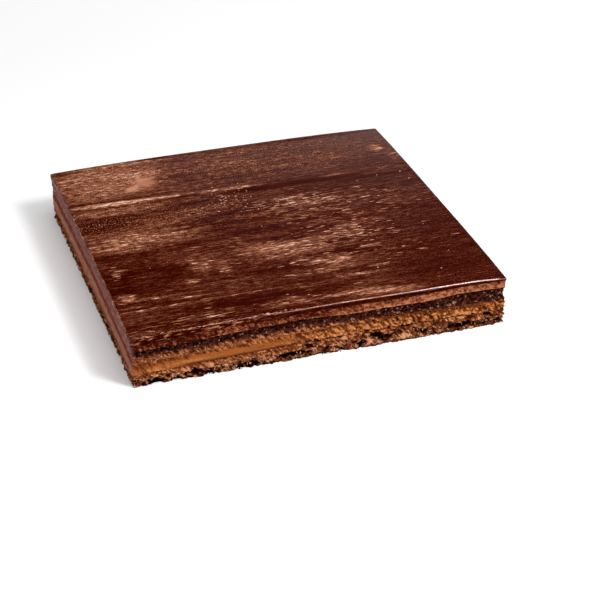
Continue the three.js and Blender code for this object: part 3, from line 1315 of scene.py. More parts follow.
@dataclass(frozen=True)
class BrushMark:
    """A patch of the brushed top: middle, half sizes along and across the strokes, and what it does there.

    tone lightens it, dash covers it with bright dashes, partly lighter glaze and partly painted glints,
    grain adds to its stipple, tilt turns it, bare wipes it smooth, and dull takes its gloss away.
    """

    x: float
    y: float
    along: float
    across: float
    tone: float = 0.0
    dash: float = 0.0
    grain: float = 0.0
    tilt: float = 0.0
    bare: float = 0.0
    dull: float = 0.0

    def mask(self, x: Array, y: Array) -> Array:
        """Fade the patch out towards its edge.

        Args:
            x: Places along the strokes.
            y: Places across them.

        Returns:
            1 in the middle of the patch, 0 outside it.
        """
        away_x = (x - self.x) / self.along
        away_y = (y - self.y - self.tilt * (x - self.x)) / self.across
        edge = DULL_EDGE if self.dull else SOFT_EDGE
        return eased(*edge, np.sqrt(away_x**2 + away_y**2))


BRUSH_MARKS = tuple(
    BrushMark(*row)
    for row in (
        (-104, 111, 56, 41, 0.32, 0.1, 0.1),
        (-86, 88, 7, 5.5, 0.24, -1.0, -1.0, 0.3, 0.95),
        (-73, 96, 9.5, 9, 0.26, -1.0, -1.0, 0.0, 0.95),
        (-106, 65.2, 55, 4.0, 0.3, 0.25, 0.1, -0.027),
        (-30, 63.2, 46, 2.4, 0.28, 0.5, 0.1, -0.02),
        (-104, 52, 46, 8.5, 0.24, 0.15, 0.2),
        (-124, 32, 24, 12, -0.12, 0.0, 0.6),
        (-72, 31, 40, 13, 0.09, 0.0, 0.3),
        (-104, 1, 52, 19, 0.31, 0.25, 0.1),
        (-30, 44, 34, 16, 0.02, 0.0, 0.15),
        (-34, 16, 34, 13, 0.05, 0.1, 0.15),
        (-60, -27, 40, 7, 0.06, 0.2),
        (-131, -50, 14, 26, -0.1, 0.1),
        (-100, -50, 20, 28, -0.03),
        (-60, -52, 26, 18, 0.05, 0.2),
        (-68, -55, 8, 13, 0.13, 0.2),
        (-53, -56, 7, 11, 0.14, 0.2),
        (-80, -73.5, 6, 3, 0.34, 0.2),
        (-50, -67.5, 4, 2, 0.25, 0.2),
        (-14, -40, 24, 11, 0.27, 0.2),
        (20, -46, 22, 11, 0.16, 0.4),
        (50, -43, 20, 9, 0.13, 0.4),
        (63, -40, 4, 8, 0.12, 0.2),
        (-15, -57, 26, 4, 0.12, 0.4),
        (29, -73, 13, 8, 0.29, 0.4),
        (8, -72, 10, 7, 0.16, 0.5),
        (22, -88, 28, 4, 0.12, 0.6),
        (57, -93, 8, 1.6, 0.2, 0.5),
        (45, -101, 26, 2, 0.2, 0.5),
        (99.5, -79.5, 4.5, 1.4, 0.45, 0.5),
        (78, -72, 5, 1.3, 0.25, 0.5),
        (-131, -82, 7, 6, 0.32, 0.2, 0.1),
        (-90, -95.5, 12, 2, 0.2, 0.4),
        (-133, -97, 12, 1.5, 0.3, 0.4),
        (-110, -89, 34, 2, 0.14, 0.4),
        (-90, -102.5, 70, 1.6, 0.2, 0.4),
        (-60, -111, 95, 7, -0.05, 0.05),
        (100, -108, 60, 16, -0.02),
        (-93, -126, 50, 10, -0.05, 0.4),
        (-84, -125, 14, 4, 0.08, 0.3),
        (-20, -124, 22, 7, 0.2, 0.35),
        (46, -129.5, 44, 5.5, 0.36, 0.2, 0.0, -0.1),
        # Lighter back right: partly lighter glaze, partly painted sheen
        (30, 105, 100, 34, 0.15, 0.1, 0.2),
        (128, 99, 6, 8, 0.32),
        (137, 82, 6, 12, 0.16, 0.3),
        (28, 56, 42, 5.6, -0.04, -0.2, -0.2, 0.0, 0.5, 0.5),
        (76, 55.5, 40, 3.4, -0.035, -0.2, -0.2, 0.0, 0.5, 0.45),
        (112, 49, 36, 3.0, -0.02, -0.2, -0.2, 0.0, 0.4, 0.4),
        # Painted highlights: light lines behind the ripple where a ridge catches the light
        (80, 61.0, 15, 1.3, 0.22, 0.2),
        (104, 55.5, 9, 1.2, 0.14, 0.2),
        (119, 60, 9, 1.4, 0.16, 0.2, 0.0, 0.6),
        (28, 26, 37, 11, 0.1, 0.75, 0.0, -0.04),
        (88.5, 16, 5, 1.4, 0.4, 0.5),
        (85, 34.5, 4, 1.2, 0.3, 0.5),
        (108, -60, 46, 84, -0.04, -0.05, 0.05),
        (70, 5, 70, 30, 0.05, 0.3),
        (55, -27, 58, 8, 0.06, 0.2),
        (60, -56, 60, 28, 0.03, 0.25),
    )
)


@dataclass(frozen=True)
class Patches:
    """What all the marks do together at each place, under the same names as in a mark."""

    tone: Array
    dash: Array
    grain: Array
    bare: Array
    dull: Array


@dataclass
class BrushedTop:
    """The pattern that the brush left in the glaze: how light, stippled and raised it is at each place.

    One long line runs across the top: it passes line_start, falls by line_fall to the right, is bright over
    line_bright with a painted highlight where it catches the light, and is raised over line_raised.
    """

    base: float = 0.15
    base_dash: float = 0.18
    base_grain: float = 0.15
    marks: tuple[BrushMark, ...] = BRUSH_MARKS
    full_drift: float = 45.0
    full_wander: float = 5.0
    line_start: Pair = (-110.0, 65.0)
    line_fall: float = 0.027
    line_width: float = 3.0
    line_bright: Pair = (-35.0, -75.0)
    line_raised: Pair = (40.0, -30.0)
    calmer: Pair = (40.0, 100.0)
    smoother: Pair = (40.0, 110.0)
    drier: Pair = (-30.0, -110.0)

    def patches(self, x: Array, y: Array) -> Patches:
        """Add all the marks up, each drawn out along the strokes.

        Args:
            x: Places along the strokes.
            y: Places across them.

        Returns:
            What the marks do at each place.
        """
        wander = 4.0 * (layered_noise(x / 26, y / 16, 201, 3) - 0.5)
        stretch = 40.0 * (layered_noise(x / 44, y / 2.6, 202, 2) - 0.5)
        tone = np.full(x.shape, self.base)
        dash = np.full(x.shape, self.base_dash)
        grain = np.full(x.shape, self.base_grain)
        bare, dull = np.zeros(x.shape), np.zeros(x.shape)
        for mark in self.marks:
            drift = stretch * min(1.0, mark.along / self.full_drift) * (1 - 0.9 * mark.bare)
            mask = mark.mask(x + drift, y + wander * min(1.0, mark.across / self.full_wander))
            tone = tone + mark.tone * mask
            dash = dash + mark.dash * mask
            grain = grain + mark.grain * mask
            bare = np.maximum(bare, mark.bare * mask)
            dull = np.maximum(dull, mark.dull * mask)
        return Patches(tone, np.clip(dash, 0, 1), np.clip(grain, 0, 1), bare, dull)

    def line(self, x: Array, y: Array) -> Array:
        """Nearness to the long line, from 0 to 1."""
        off = y - self.line_start[1] + self.line_fall * (x - self.line_start[0])
        return np.exp(-((off / self.line_width) ** 2))

    def field(self, x: Array, y: Array) -> tuple[dict[str, Array], Array]:
        """Work out the pattern.

        Args:
            x: Places along the strokes.
            y: Places across them.

        Returns:
            Lightness, dash, grain, fibre and sheen of the finish by name, and height about a level of 0.
        """
        marks = self.patches(x, y)
        brushed = 1 - marks.bare
        bend = y + 1.2 * layered_noise(x / 60, y / 40, 211, 2)
        wash = layered_noise(x / 44, bend / 7.0, 212, 2) - 0.5
        strokes = layered_noise(x / 26, bend / 2.1, 213, 3) - 0.5
        lumps = layered_noise(x / 2.8, y / 1.9, 214, 2) - 0.5
        ridges = eased(0.58, 0.72, layered_noise(x / 8.0, bend / 2.0, 215, 2))
        slow = layered_noise(x / 70, y / 55, 217, 2) - 0.5
        warm = np.clip(0.12 + 1.3 * marks.tone, 0.2, 0.9)
        line = self.line(x, y)
        calm = 1 - 0.55 * eased(*self.calmer, x)
        light = marks.tone + 0.32 * calm * wash + brushed * warm * (0.6 * calm * strokes + 0.12 * lumps)
        light = light + 0.2 * marks.dash * ridges
        # Painted highlight along the long line on the left
        light = np.clip(light + 0.26 * line * eased(*self.line_bright, x), 0.02, 1.2)
        raised = 0.05 * strokes + 0.08 * lumps * marks.grain + 0.12 * ridges * (0.2 + marks.dash)
        ridge = line * eased(*self.line_raised, x)
        fibre = (0.15 + 0.95 * light) * brushed * (1 - 0.3 * eased(*self.smoother, x))
        sheen = (1 - marks.dull) * (0.5 + 0.5 * eased(-0.06, 0.12, marks.tone))
        sheen = sheen * (1 - 0.8 * eased(*self.drier, x))
        traits = {"light": light, "dash": marks.dash, "grain": marks.grain, "fibre": fibre, "sheen": sheen}
        return traits, raised * brushed + 0.25 * ridge + 0.3 * slow


@dataclass(frozen=True)
class GlazeFinish:
    """The finish of the glaze: colours from bare dark glaze to dry brushed streaks, under a clear gloss.

    stipple, fibres, dashes and pores each give the scale, detail and stretch of a noise.
    """

    stops: tuple[tuple[float, Colour], ...] = (
        (0.0, srgb(40, 2, 0)),
        (0.1, srgb(55, 10, 2)),
        (0.2, srgb(72, 25, 11)),
        (0.4, srgb(104, 58, 40)),
        (0.6, srgb(144, 88, 63)),
        (0.8, srgb(188, 134, 107)),
        (1.0, srgb(228, 190, 168)),
    )
    stipple: tuple[float, float, Triple] = (760.0, 1.0, (1.1, 0.85, 0.0))
    fibres: tuple[float, float, Triple] = (720.0, 4.0, (0.26, 1.0, 0.0))
    dashes: tuple[float, float, Triple] = (560.0, 2.0, (0.15, 1.1, 0.0))
    pores: tuple[float, float, Triple] = (820.0, 1.0, (1.0, 1.0, 0.0))
    dash_span: Pair = (0.59, 0.635)
    pore_span: Pair = (0.56, 0.66)
    stipple_depth: float = 3.2
    pore_depth: float = 0.4
    fibre_depth: float = 2.6
    dash_depth: float = 0.75
    bump_strength: float = 0.5
    bump_depth: float = 0.16
    roughness: float = 0.6
    coat_roughness: float = 0.16
    coat_ior: float = 2.4

    def shown_colour(self, tree: Tree, shown: Socket) -> Socket:
        """Add the ramp of colours.

        Args:
            tree: The material's tree.
            shown: Lightness, from 0 to 1.

        Returns:
            The colour.
        """
        ramp = tree.add("ShaderNodeValToRGB")
        stops = ramp.color_ramp.elements
        while len(stops) < len(self.stops):
            stops.new(0.5)
        for stop, (position, colour) in zip(stops, self.stops):
            stop.position = position
            stop.color = colour
        tree.feed(ramp.inputs["Fac"], shown)
        return ramp.outputs["Color"]

    def material(self, name: str) -> bpy.types.Material:
        """Build the material.

        Args:
            name: The material's name.

        Returns:
            The material.
        """
        made, tree, shader = new_material(name)
        grain = tree.trait("grain")
        dashes = tree.ease(tree.noise(*self.dashes), *self.dash_span)
        pores = tree.ease(tree.noise(*self.pores), *self.pore_span)
        fine = tree.product(grain, self.stipple_depth, tree.wander(*self.stipple))
        fine = tree.math("SUBTRACT", fine, tree.product(grain, self.pore_depth, pores))
        drag = tree.product(tree.trait("fibre"), self.fibre_depth, tree.wander(*self.fibres))
        fine = tree.math("ADD", fine, drag)
        fine = tree.math("ADD", fine, tree.product(tree.trait("dash"), self.dash_depth, dashes))
        shown = tree.math("ADD", tree.trait("light"), fine)
        uneven = tree.bump(fine, self.bump_strength, self.bump_depth)
        tree.feed_all(shader, {"Base Color": self.shown_colour(tree, shown), "Normal": uneven})
        tree.feed_all(shader, {"Roughness": self.roughness, "Specular IOR Level": 0.0})
        tree.feed_all(shader, {"Coat Weight": tree.trait("gloss"), "Coat IOR": self.coat_ior})
        tree.feed(shader.inputs["Coat Roughness"], self.coat_roughness)
        return made


@dataclass
class Glaze:
    """The glaze: a brushed top, a rounded edge with a glossy facet along it, and a lip over the mousse.

    edge_profile gives the inset, share of the sway and drop of each ring of the rounding, and worn how far
    the front edge is worn inwards at an x. The spans of crest, facet and broken run along x.
    """

    node: str = "glaze"
    seam: int = 6
    steps_across: int = 210
    steps_deep: int = 400
    edge_profile: tuple[Triple, ...] = (
        (0.85, 1.0, 0.04), (0.62, 1.0, 0.12), (0.36, 1.0, 0.36), (0.24, 0.95, 0.5), (0.05, 0.35, 1.0),
    )
    edge_gloss: tuple[float, ...] = (0.06, 0.16, 0.16, 0.03)
    # Lightness of the first rings' crest: partly dry glaze, partly a painted highlight along the front edge
    edge_crest: Triple = (0.6, 1.0, 1.0)
    edge_inset: float = 1.0
    worn: Pairs = (
        (-143.0, 0.1), (-100.0, 0.4), (-40.0, 0.2), (20.0, 0.3), (70.0, 0.3),
        (88.0, 0.8), (106.0, 1.5), (124.0, 1.7), (137.0, 1.0), (143.0, 0.4),
    )
    # Span of x over which the front edge's crest gets its painted highlight
    crest: Pair = (-60.0, -10.0)
    facet: Pair = (-90.0, -10.0)
    broken: Pair = (-10.0, -70.0)
    top_gloss: float = 0.09
    dry_gloss: float = 0.045
    left_gloss: float = 0.2
    dry_span: Pair = (0.15, 0.5)
    side_rows: int = 5
    lip_rise: float = 0.35
    lip_inset: float = 0.15
    lip_under: float = 0.4
    lip_back: float = 0.75
    lowering: float = 0.34
    headroom: float = 0.02
    bead: float = 0.16
    bead_place: float = 2.4
    bead_width: float = 2.4
    calm_edge: Pair = (1.0, 6.0)
    edge_dip: float = 0.7
    dip_span: Pair = (7.0, 1.5)
    shallowest: float = 0.03
    sharp: float = 75.0
    top: BrushedTop = field(default_factory=BrushedTop)
    finish: GlazeFinish = field(default_factory=GlazeFinish)

    def top_plan(self, outline: Outline, columns: Columns) -> tuple[Array, Array]:
        """Lay a grid over the top between its four edges.

        Args:
            outline: The cake's plan.
            columns: Places round the outline, as many on a side as the grid has steps.

        Returns:
            x and y of the grid, rows from front to back.
        """
        inset = self.edge_inset + self.sway(columns)
        ring = np.stack(columns.inside(inset, np.full(inset.shape, outline.height)), axis=-1)
        wide, deep = self.steps_across, self.steps_deep
        closed = np.concatenate([ring, ring[:1]])
        front = closed[: wide + 1]
        right = closed[wide : wide + deep + 1]
        back = closed[wide + deep : 2 * wide + deep + 1][::-1]
        left = closed[2 * wide + deep :][::-1]
        u = np.linspace(0, 1, wide + 1)[None, :, None]
        v = np.linspace(0, 1, deep + 1)[:, None, None]
        ruled = (1 - v) * front[None] + v * back[None] + (1 - u) * left[:, None] + u * right[:, None]
        corners = (1 - u) * (1 - v) * front[0] + u * (1 - v) * front[-1]
        corners = corners + (1 - u) * v * back[0] + u * v * back[-1]
        plan = ruled - corners
        return plan[..., 0], plan[..., 1]

    def sway(self, columns: Columns) -> Array:
        """Find how far the top's edge lies inwards where the front edge is worn round.

        Args:
            columns: Places round the outline.

        Returns:
            One distance for each place.
        """
        slow = layered_noise(columns.distance / 40, np.full(columns.x.shape, 0.5), 305, 2)
        sway = np.interp(columns.x, *zip(*self.worn)) + 0.4 * slow
        return sway * (1 - columns.bend) * columns.share[Side.FRONT]

    def edge_gap(self, outline: Outline, x: Array, y: Array) -> Array:
        """Distance from the nearest side of the plan."""
        return np.minimum(outline.width / 2 - np.abs(x), outline.depth / 2 - np.abs(y))

    def surface(self, outline: Outline, x: Array, y: Array) -> tuple[Array, dict[str, Array]]:
        """Shape the top.

        Args:
            outline: The cake's plan.
            x: Places from left to right.
            y: Places from front to back.

        Returns:
            Height at each place, and the numbers that the finish reads there.
        """
        traits, raised = self.top.field(x, y)
        gap = self.edge_gap(outline, x, y)
        calm = eased(*self.calm_edge, gap)
        bead = self.bead * np.exp(-(((gap - self.bead_place) / self.bead_width) ** 2))
        dip = self.edge_dip * layered_noise(x / 30, 0 * x + 0.5, 306, 2)
        dip = dip * eased(*self.dip_span, y + outline.depth / 2)
        full = outline.height * outline.crown(x, y)
        dry = eased(*self.dry_span, traits["light"])
        traits["gloss"] = mixed(self.top_gloss, self.dry_gloss, dry) * traits["sheen"]
        return np.minimum(full - self.lowering + raised * calm + bead - dip, full - self.headroom), traits

    def build(self, outline: Outline, stack: Stack) -> bpy.types.Object:
        """Build the glaze's closed mesh and dress it.

        Args:
            outline: The cake's plan.
            stack: The heights of the seams.

        Returns:
            The piece that stands for the glaze's node.
        """
        wide, deep = self.steps_across, self.steps_deep
        columns = outline.columns({Side.FRONT: wide, Side.RIGHT: deep, Side.BACK: wide, Side.LEFT: deep})
        count = len(columns.x)
        x, y = self.top_plan(outline, columns)
        z, pattern = self.surface(outline, x, y)
        number = np.arange((wide + 1) * (deep + 1)).reshape(deep + 1, wide + 1)
        quads = np.stack([number[:-1, :-1], number[:-1, 1:], number[1:, 1:], number[1:, :-1]], axis=-1)
        faces = quads.reshape(-1, 4).tolist()
        rim = np.concatenate([number[0, :-1], number[:-1, -1], number[-1, :0:-1], number[:0:-1, 0]])
        rings, tones = self.rim_rings(stack, columns, z.ravel()[rim])
        previous = rim
        for index in range(len(rings)):
            current = number.size + index * count + np.arange(count)
            band = [current, np.roll(current, -1), np.roll(previous, -1), previous]
            faces += np.stack(band, axis=-1).tolist()
            previous = current
        middle = number.size + len(rings) * count
        faces += fan_faces(middle - count, count, middle, upward=False)
        centre = [[0, 0, stack.seams[self.seam].height]]
        points = np.concatenate([np.stack([x, y, z], axis=-1).reshape(-1, 3), *rings, centre])
        broken = layered_noise(columns.distance / 5, 0 * columns.x + 0.5, 307, 3)
        facet = columns.share[Side.FRONT] * eased(*self.facet, columns.x) * eased(0.12, 0.5, broken)
        side = self.left_gloss * columns.share[Side.LEFT]
        shine = self.edge_gloss + (0.0,) * (len(rings) - len(self.edge_gloss))
        gloss = [share * facet + side for share in shine]
        spare = len(rings) * count + 1
        traits = {
            "light": np.concatenate([pattern["light"].ravel(), *tones, [0.1]]),
            "dash": np.append(pattern["dash"].ravel(), np.zeros(spare)),
            "grain": np.append(pattern["grain"].ravel(), np.full(spare, 0.1)),
            "fibre": np.append(pattern["fibre"].ravel(), np.full(spare, 0.2)),
            "gloss": np.concatenate([pattern["gloss"].ravel(), *gloss, [0]]),
        }
        piece = mesh_object("glaze_top", points, faces, traits, self.sharp)
        piece.data.materials.append(self.finish.material("glaze_finish"))
        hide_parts(self.node)
        return piece

    def rim_profile(self, seam: Array, top: Array, sway: Array) -> list[tuple[Array, Array, float]]:
        """Run from the top's edge over the rounding, down the side and under the lip.

        Args:
            seam: Height of the seam under the glaze at each place.
            top: Height of the top's edge at each place.
            sway: How far the top's edge lies inwards at each place.

        Returns:
            Inset, height and unevenness of each ring.
        """
        fall = 1 + 0.3 * sway
        profile = []
        for inset, share, drop in self.edge_profile:
            profile.append((inset + share * sway, top - drop * fall, min(1.0, 2 * drop)))
        side_top = top - self.edge_profile[-1][2] * fall
        lip = np.minimum(seam + self.lip_rise, side_top - 0.3)
        for step in range(1, self.side_rows + 1):
            share = step / self.side_rows
            profile.append((self.lip_inset * share, mixed(side_top, lip, share), 1.0))
        profile.append((self.lip_under, np.minimum(seam + 0.1, lip - 0.1), 0.6))
        profile.append((self.lip_back, np.minimum(seam, lip - 0.15), 0.0))
        return profile

    def rim_rings(self, stack: Stack, columns: Columns, top: Array) -> tuple[list[Array], list[Array]]:
        """Build the rings of the rim, broken on the left of the front, with a painted highlight on the
        right.

        Args:
            stack: The heights of the seams.
            columns: Places round the outline.
            top: Height of the top's edge at each place.

        Returns:
            Points of each ring, and lightness of each ring.
        """
        noise, row = stack.noise, np.full(columns.x.shape, 0.5)
        chips = noise.smooth(columns.distance, row, (6.0, 1.0), 301) - 0.5
        nicks = noise.smooth(columns.distance, row, (2.6, 1.0), 302, 2) - 0.5
        front, left = columns.share[Side.FRONT], columns.share[Side.LEFT]
        broken = 0.25 + 0.75 * front * eased(*self.broken, columns.x)
        dashed = noise.smooth(columns.distance, row, (13.0, 1.0), 304, 2)
        # Painted highlight along the front edge's crest, partly dry glaze
        crest = eased(*self.crest, columns.x) * (0.4 + 0.25 * eased(0.25, 0.6, dashed))
        profile = self.rim_profile(stack.seam_height(self.seam, columns), top, self.sway(columns))
        crests = self.edge_crest + (0.0,) * (len(profile) - len(self.edge_crest))
        rings, tones = [], []
        for index, (inset, height, wobble) in enumerate(profile):
            rough = wobble * broken * (0.7 * np.abs(chips) + 0.6 * np.abs(nicks))
            level = height + wobble * broken * 0.35 * nicks
            x, y = columns.inside(np.maximum(inset + rough, self.shallowest), level)
            rings.append(np.stack([x, y, np.minimum(level, top)], axis=-1))
            streak = noise.smooth(columns.distance, row + 0.8 * index, (4.4, 1.0), 303, 2)
            flake = eased(0.54, 0.7, streak) * broken
            film = left * (0.28 + 1.1 * (streak - 0.5))
            # Lighter flakes, and the painted highlight on the crest
            worn = np.maximum(0.7 * flake - 0.1, crest * crests[index])
            tones.append(np.clip(0.05 + front * worn + film, 0, 1))
        return rings, tones


@dataclass(frozen=True)
class FleckKind:
    """One kind of fleck: how many at most, ranges of half length, half width, height and tone, and turn."""

    count: int
    length: Pair
    width: Pair
    rise: Pair
    tone: Pair
    turn: float


@dataclass(frozen=True)
class Cluster:
    """A place on the top where flecks gather: its middle, and how far they spread along and across."""

    x: float
    y: float
    along: float
    across: float

    def nearness(self, x: Array, y: Array) -> Array:
        """1 at the middle, falling to 0 away from it."""
        return np.exp(-(((x - self.x) / self.along) ** 2) - ((y - self.y) / self.across) ** 2)


@dataclass
class Flecks:
    """Small raised dashes and bubbles that stand out of the brushed glaze, and flakes along its worn edge.

    dashed_x and dashed_y are spans along which dashes come in, and thinned one along which they thin out.
    dome_rings gives the reach and rise of each ring of a fleck, as shares of its half size and height.
    """

    node: str = "glaze"
    # Dashes: raised streaks whose light tone is partly a painted glint
    dashes: FleckKind = FleckKind(460, (1.0, 4.6), (0.24, 0.46), (0.05, 0.12), (0.4, 0.85), 0.02)
    # Bubbles: small real bumps, made light as a painted glint
    bubbles: FleckKind = FleckKind(230, (0.35, 1.1), (0.28, 0.6), (0.1, 0.2), (0.55, 1.0), 0.3)
    flakes: FleckKind = FleckKind(210, (0.3, 1.7), (0.15, 0.3), (0.06, 0.16), (0.45, 0.95), 0.14)
    dash_cluster: Cluster = Cluster(-133.0, -45.0, 7.0, 11.0)
    bubble_cluster: Cluster = Cluster(-14.0, 47.0, 17.0, 15.0)
    tries: int = 11000
    tried_x: Pair = (-134.0, 136.0)
    tried_y: Pair = (-133.0, 128.0)
    dashed_x: Pair = (-90.0, 40.0)
    dashed_y: Pair = (85.0, 45.0)
    thinned: Pair = (60.0, 110.0)
    flakes_from: float = -140.0
    flakes_run: float = 125.0
    dome_rings: Pairs = ((1.0, -0.5), (0.86, 0.45), (0.5, 0.88))
    least_rise: float = 0.03
    lean: float = -0.02
    gloss: float = 0.012
    fibre: float = 0.4
    ring: int = 8
    seed: int = 7
    sharp: float = 80.0

    def dome(self, centre: Array, half: Triple, turn: float) -> tuple[Array, Faces]:
        """Shape one low dome.

        Args:
            centre: The middle of its foot.
            half: Half its length, half its width and its height.
            turn: Its angle in plan, in radians.

        Returns:
            Points and faces of the dome, closed below.
        """
        angles = np.arange(self.ring) * 2 * math.pi / self.ring
        points = []
        for reach, rise in self.dome_rings:
            along, across = reach * half[0] * np.cos(angles), reach * half[1] * np.sin(angles)
            x = centre[0] + along * math.cos(turn) - across * math.sin(turn)
            y = centre[1] + along * math.sin(turn) + across * math.cos(turn)
            points.append(np.stack([x, y, np.full(self.ring, centre[2] + rise * half[2])], axis=-1))
        points.append([[centre[0], centre[1], centre[2] + side * half[2]] for side in (1, -1)])
        bands = len(self.dome_rings) - 1
        tip = (bands + 1) * self.ring
        faces = ring_faces(self.ring, bands)
        faces += fan_faces(bands * self.ring, self.ring, tip, upward=True)
        faces += fan_faces(0, self.ring, tip + 1, upward=False)
        return np.concatenate(points), faces

    def places(
        self, draw: np.random.Generator, outline: Outline, top: BrushedTop
    ) -> list[tuple[FleckKind, Array]]:
        """Draw places for the flecks where each kind gathers.

        Args:
            draw: Where the random numbers come from.
            outline: The cake's plan.
            top: The brushed pattern.

        Returns:
            Each kind with x and y of its flecks.
        """
        x, y = draw.uniform(*self.tried_x, self.tries), draw.uniform(*self.tried_y, self.tries)
        dash = np.maximum(0.5 * top.patches(x, y).dash - 0.08, 0)
        dash = dash * eased(*self.dashed_x, x) * eased(*self.dashed_y, y)
        dash = dash * (1 - 0.6 * eased(*self.thinned, x))
        dash = dash + self.dash_cluster.nearness(x, y)
        bubble = 0.014 + 1.5 * self.bubble_cluster.nearness(x, y)
        kept = draw.uniform(size=self.tries)
        dashes = np.flatnonzero(kept < dash)[: self.dashes.count]
        bubbles = np.flatnonzero(kept > 1 - 0.4 * bubble)[: self.bubbles.count]
        along = self.flakes_from + self.flakes_run * draw.beta(1.3, 1.2, self.flakes.count)
        edge = 1.6 + TRIMS[Side.FRONT].bow * np.cos(math.pi * along / outline.width)
        inwards = edge + 3.4 * draw.beta(0.7, 2.6, self.flakes.count)
        return [
            (self.dashes, np.stack([x[dashes], y[dashes]], axis=-1)),
            (self.bubbles, np.stack([x[bubbles], y[bubbles]], axis=-1)),
            (self.flakes, np.stack([along, inwards - outline.depth / 2], axis=-1)),
        ]

    def build(self, outline: Outline, glaze: Glaze) -> bpy.types.Object:
        """Scatter the flecks where the brush left them.

        Args:
            outline: The cake's plan.
            glaze: The glaze that they lie on.

        Returns:
            One piece with all of them.
        """
        draw = np.random.default_rng(self.seed)
        flecks = Gathering()
        for kind, spots in self.places(draw, outline, glaze.top):
            height = glaze.surface(outline, spots[:, 0], spots[:, 1])[0]
            room = outline.height * outline.crown(spots[:, 0], spots[:, 1]) - glaze.headroom - height
            for spot, level, free in zip(spots, height, room):
                rise = min(draw.uniform(*kind.rise), max(free, self.least_rise))
                half = (draw.uniform(*kind.length), draw.uniform(*kind.width), rise)
                made, linked = self.dome(np.append(spot, level), half, draw.normal(self.lean, kind.turn))
                flecks.add(made, linked, light=draw.uniform(*kind.tone), gloss=self.gloss, fibre=self.fibre)
        piece = flecks.piece("glaze_flecks", self.sharp)
        piece.data.materials.append(bpy.data.materials["glaze_finish"])
        return piece


@dataclass
class Rubble:
    """Loose crumbs pressed into the foot of the cake."""

    node: str = "crunch_base"
    crumbs: int = 900
    sizes: Pair = (0.35, 1.3)
    highest: float = 9.0
    pressed: Pair = (0.12, 0.9)
    tones: Pair = (0.05, 0.95)
    clearance: float = 0.02
    spacing: float = 0.5
    seed: int = 19
    sharp: float = 40.0

    def even_chunk(self) -> tuple[Array, Faces]:
        """Shape an even body of twenty sides and unit radius about a middle of 0.

        Returns:
            Its points and faces.
        """
        golden = (1 + math.sqrt(5)) / 2
        corners = [(0, a, b * golden) for a in (-1, 1) for b in (-1, 1)]
        corners = corners + [(b, 0, a) for _, a, b in corners] + [(a, b, 0) for _, a, b in corners]
        points = np.array(corners, float)
        points /= np.linalg.norm(points[0])
        side = 2 / math.hypot(1, golden) * 1.05
        faces = []
        for a, b, c in itertools.combinations(range(len(points)), 3):
            trio = points[[a, b, c]]
            edges = np.linalg.norm(trio - np.roll(trio, 1, axis=0), axis=1)
            if edges.max() < side:
                outward = np.dot(np.cross(trio[1] - trio[0], trio[2] - trio[0]), trio.sum(axis=0)) > 0
                faces.append((a, b, c) if outward else (a, c, b))
        return points, faces

    def crumb(self, points: Array, draw: np.random.Generator) -> Array:
        """Make an angular crumb of an even body.

        Args:
            points: Points of the even body.
            draw: Where the random numbers come from.

        Returns:
            Points of the crumb, turned at random.
        """
        shaped = points * draw.uniform(0.62, 1.2, (len(points), 1)) * draw.uniform(0.65, 1.25, 3)
        turn = np.linalg.qr(draw.normal(size=(3, 3)))[0]
        turn = turn * np.sign(np.linalg.det(turn))
        return shaped @ turn.T

    def build(self, outline: Outline) -> bpy.types.Object:
        """Press the crumbs into the wall near its foot.

        Args:
            outline: The cake's plan.

        Returns:
            One piece with all of them.
        """
        draw = np.random.default_rng(self.seed)
        columns = outline.spaced_columns(self.spacing)
        smear = columns.trait("smear")
        even, linked = self.even_chunk()
        rubble = Gathering()
        for _ in range(self.crumbs):
            place = int(draw.integers(len(columns.x)))
            size = self.sizes[0] + (self.sizes[1] - self.sizes[0]) * draw.beta(1.4, 3.0)
            made = self.crumb(even, draw) * size
            height = max(draw.beta(1.1, 1.9) * self.highest, -made[:, 2].min() + self.clearance)
            out = np.array([columns.out_x[place], columns.out_y[place]])
            depth = (made[:, :2] @ out).max() + draw.uniform(*self.pressed)
            x, y = columns.inside(np.array([depth]), np.array([height]))
            # Painted shade: crumbs lower on the wall are darker
            tone = draw.uniform(*self.tones) * min(1.0, 0.3 + height / 5)
            rubble.add(made + [x[place], y[place], height], linked, tone=tone, pit=0.0, smear=smear[place])
        piece = rubble.piece("base_crumbs", self.sharp)
        piece.data.materials.append(bpy.data.materials["crunch_base_finish"])
        return piece


@dataclass(frozen=True)
class Lamp:
    """A soft rectangular light: where it hangs and what it points at, in metres, its size and its watts."""

    name: str
    place: Triple
    target: Triple
    size: Pair
    power: float

    def hang(self) -> None:
        """Hang the light in the scene."""
        data = bpy.data.lights.new(self.name, "AREA")
        data.shape = "RECTANGLE"
        data.size, data.size_y = self.size
        data.energy = self.power
        light = bpy.data.objects.new(self.name, data)
        light.location = self.place
        way = Vector(self.target) - Vector(self.place)
        light.rotation_euler = way.to_track_quat("-Z", "Y").to_euler()
        bpy.context.scene.collection.objects.link(light)


CAKE_MIDDLE = (0.0, 0.0, 0.03)
LAMPS = (
    Lamp("overhead", (0.0, -0.9, 2.3), (0.0, 0.1, 0.0), (3.4, 2.4), 62.0),
    Lamp("key", (0.75, -1.0, 1.35), CAKE_MIDDLE, (0.5, 0.5), 24.0),
    Lamp("back", (1.5, 2.6, 0.7), CAKE_MIDDLE, (1.6, 1.1), 5.0),
    Lamp("sheen", (0.28, 1.05, 0.34), CAKE_MIDDLE, (1.6, 0.35), 2.3),
    Lamp("fill", (-1.7, 0.1, 0.4), CAKE_MIDDLE, (1.2, 0.7), 9.0),
)


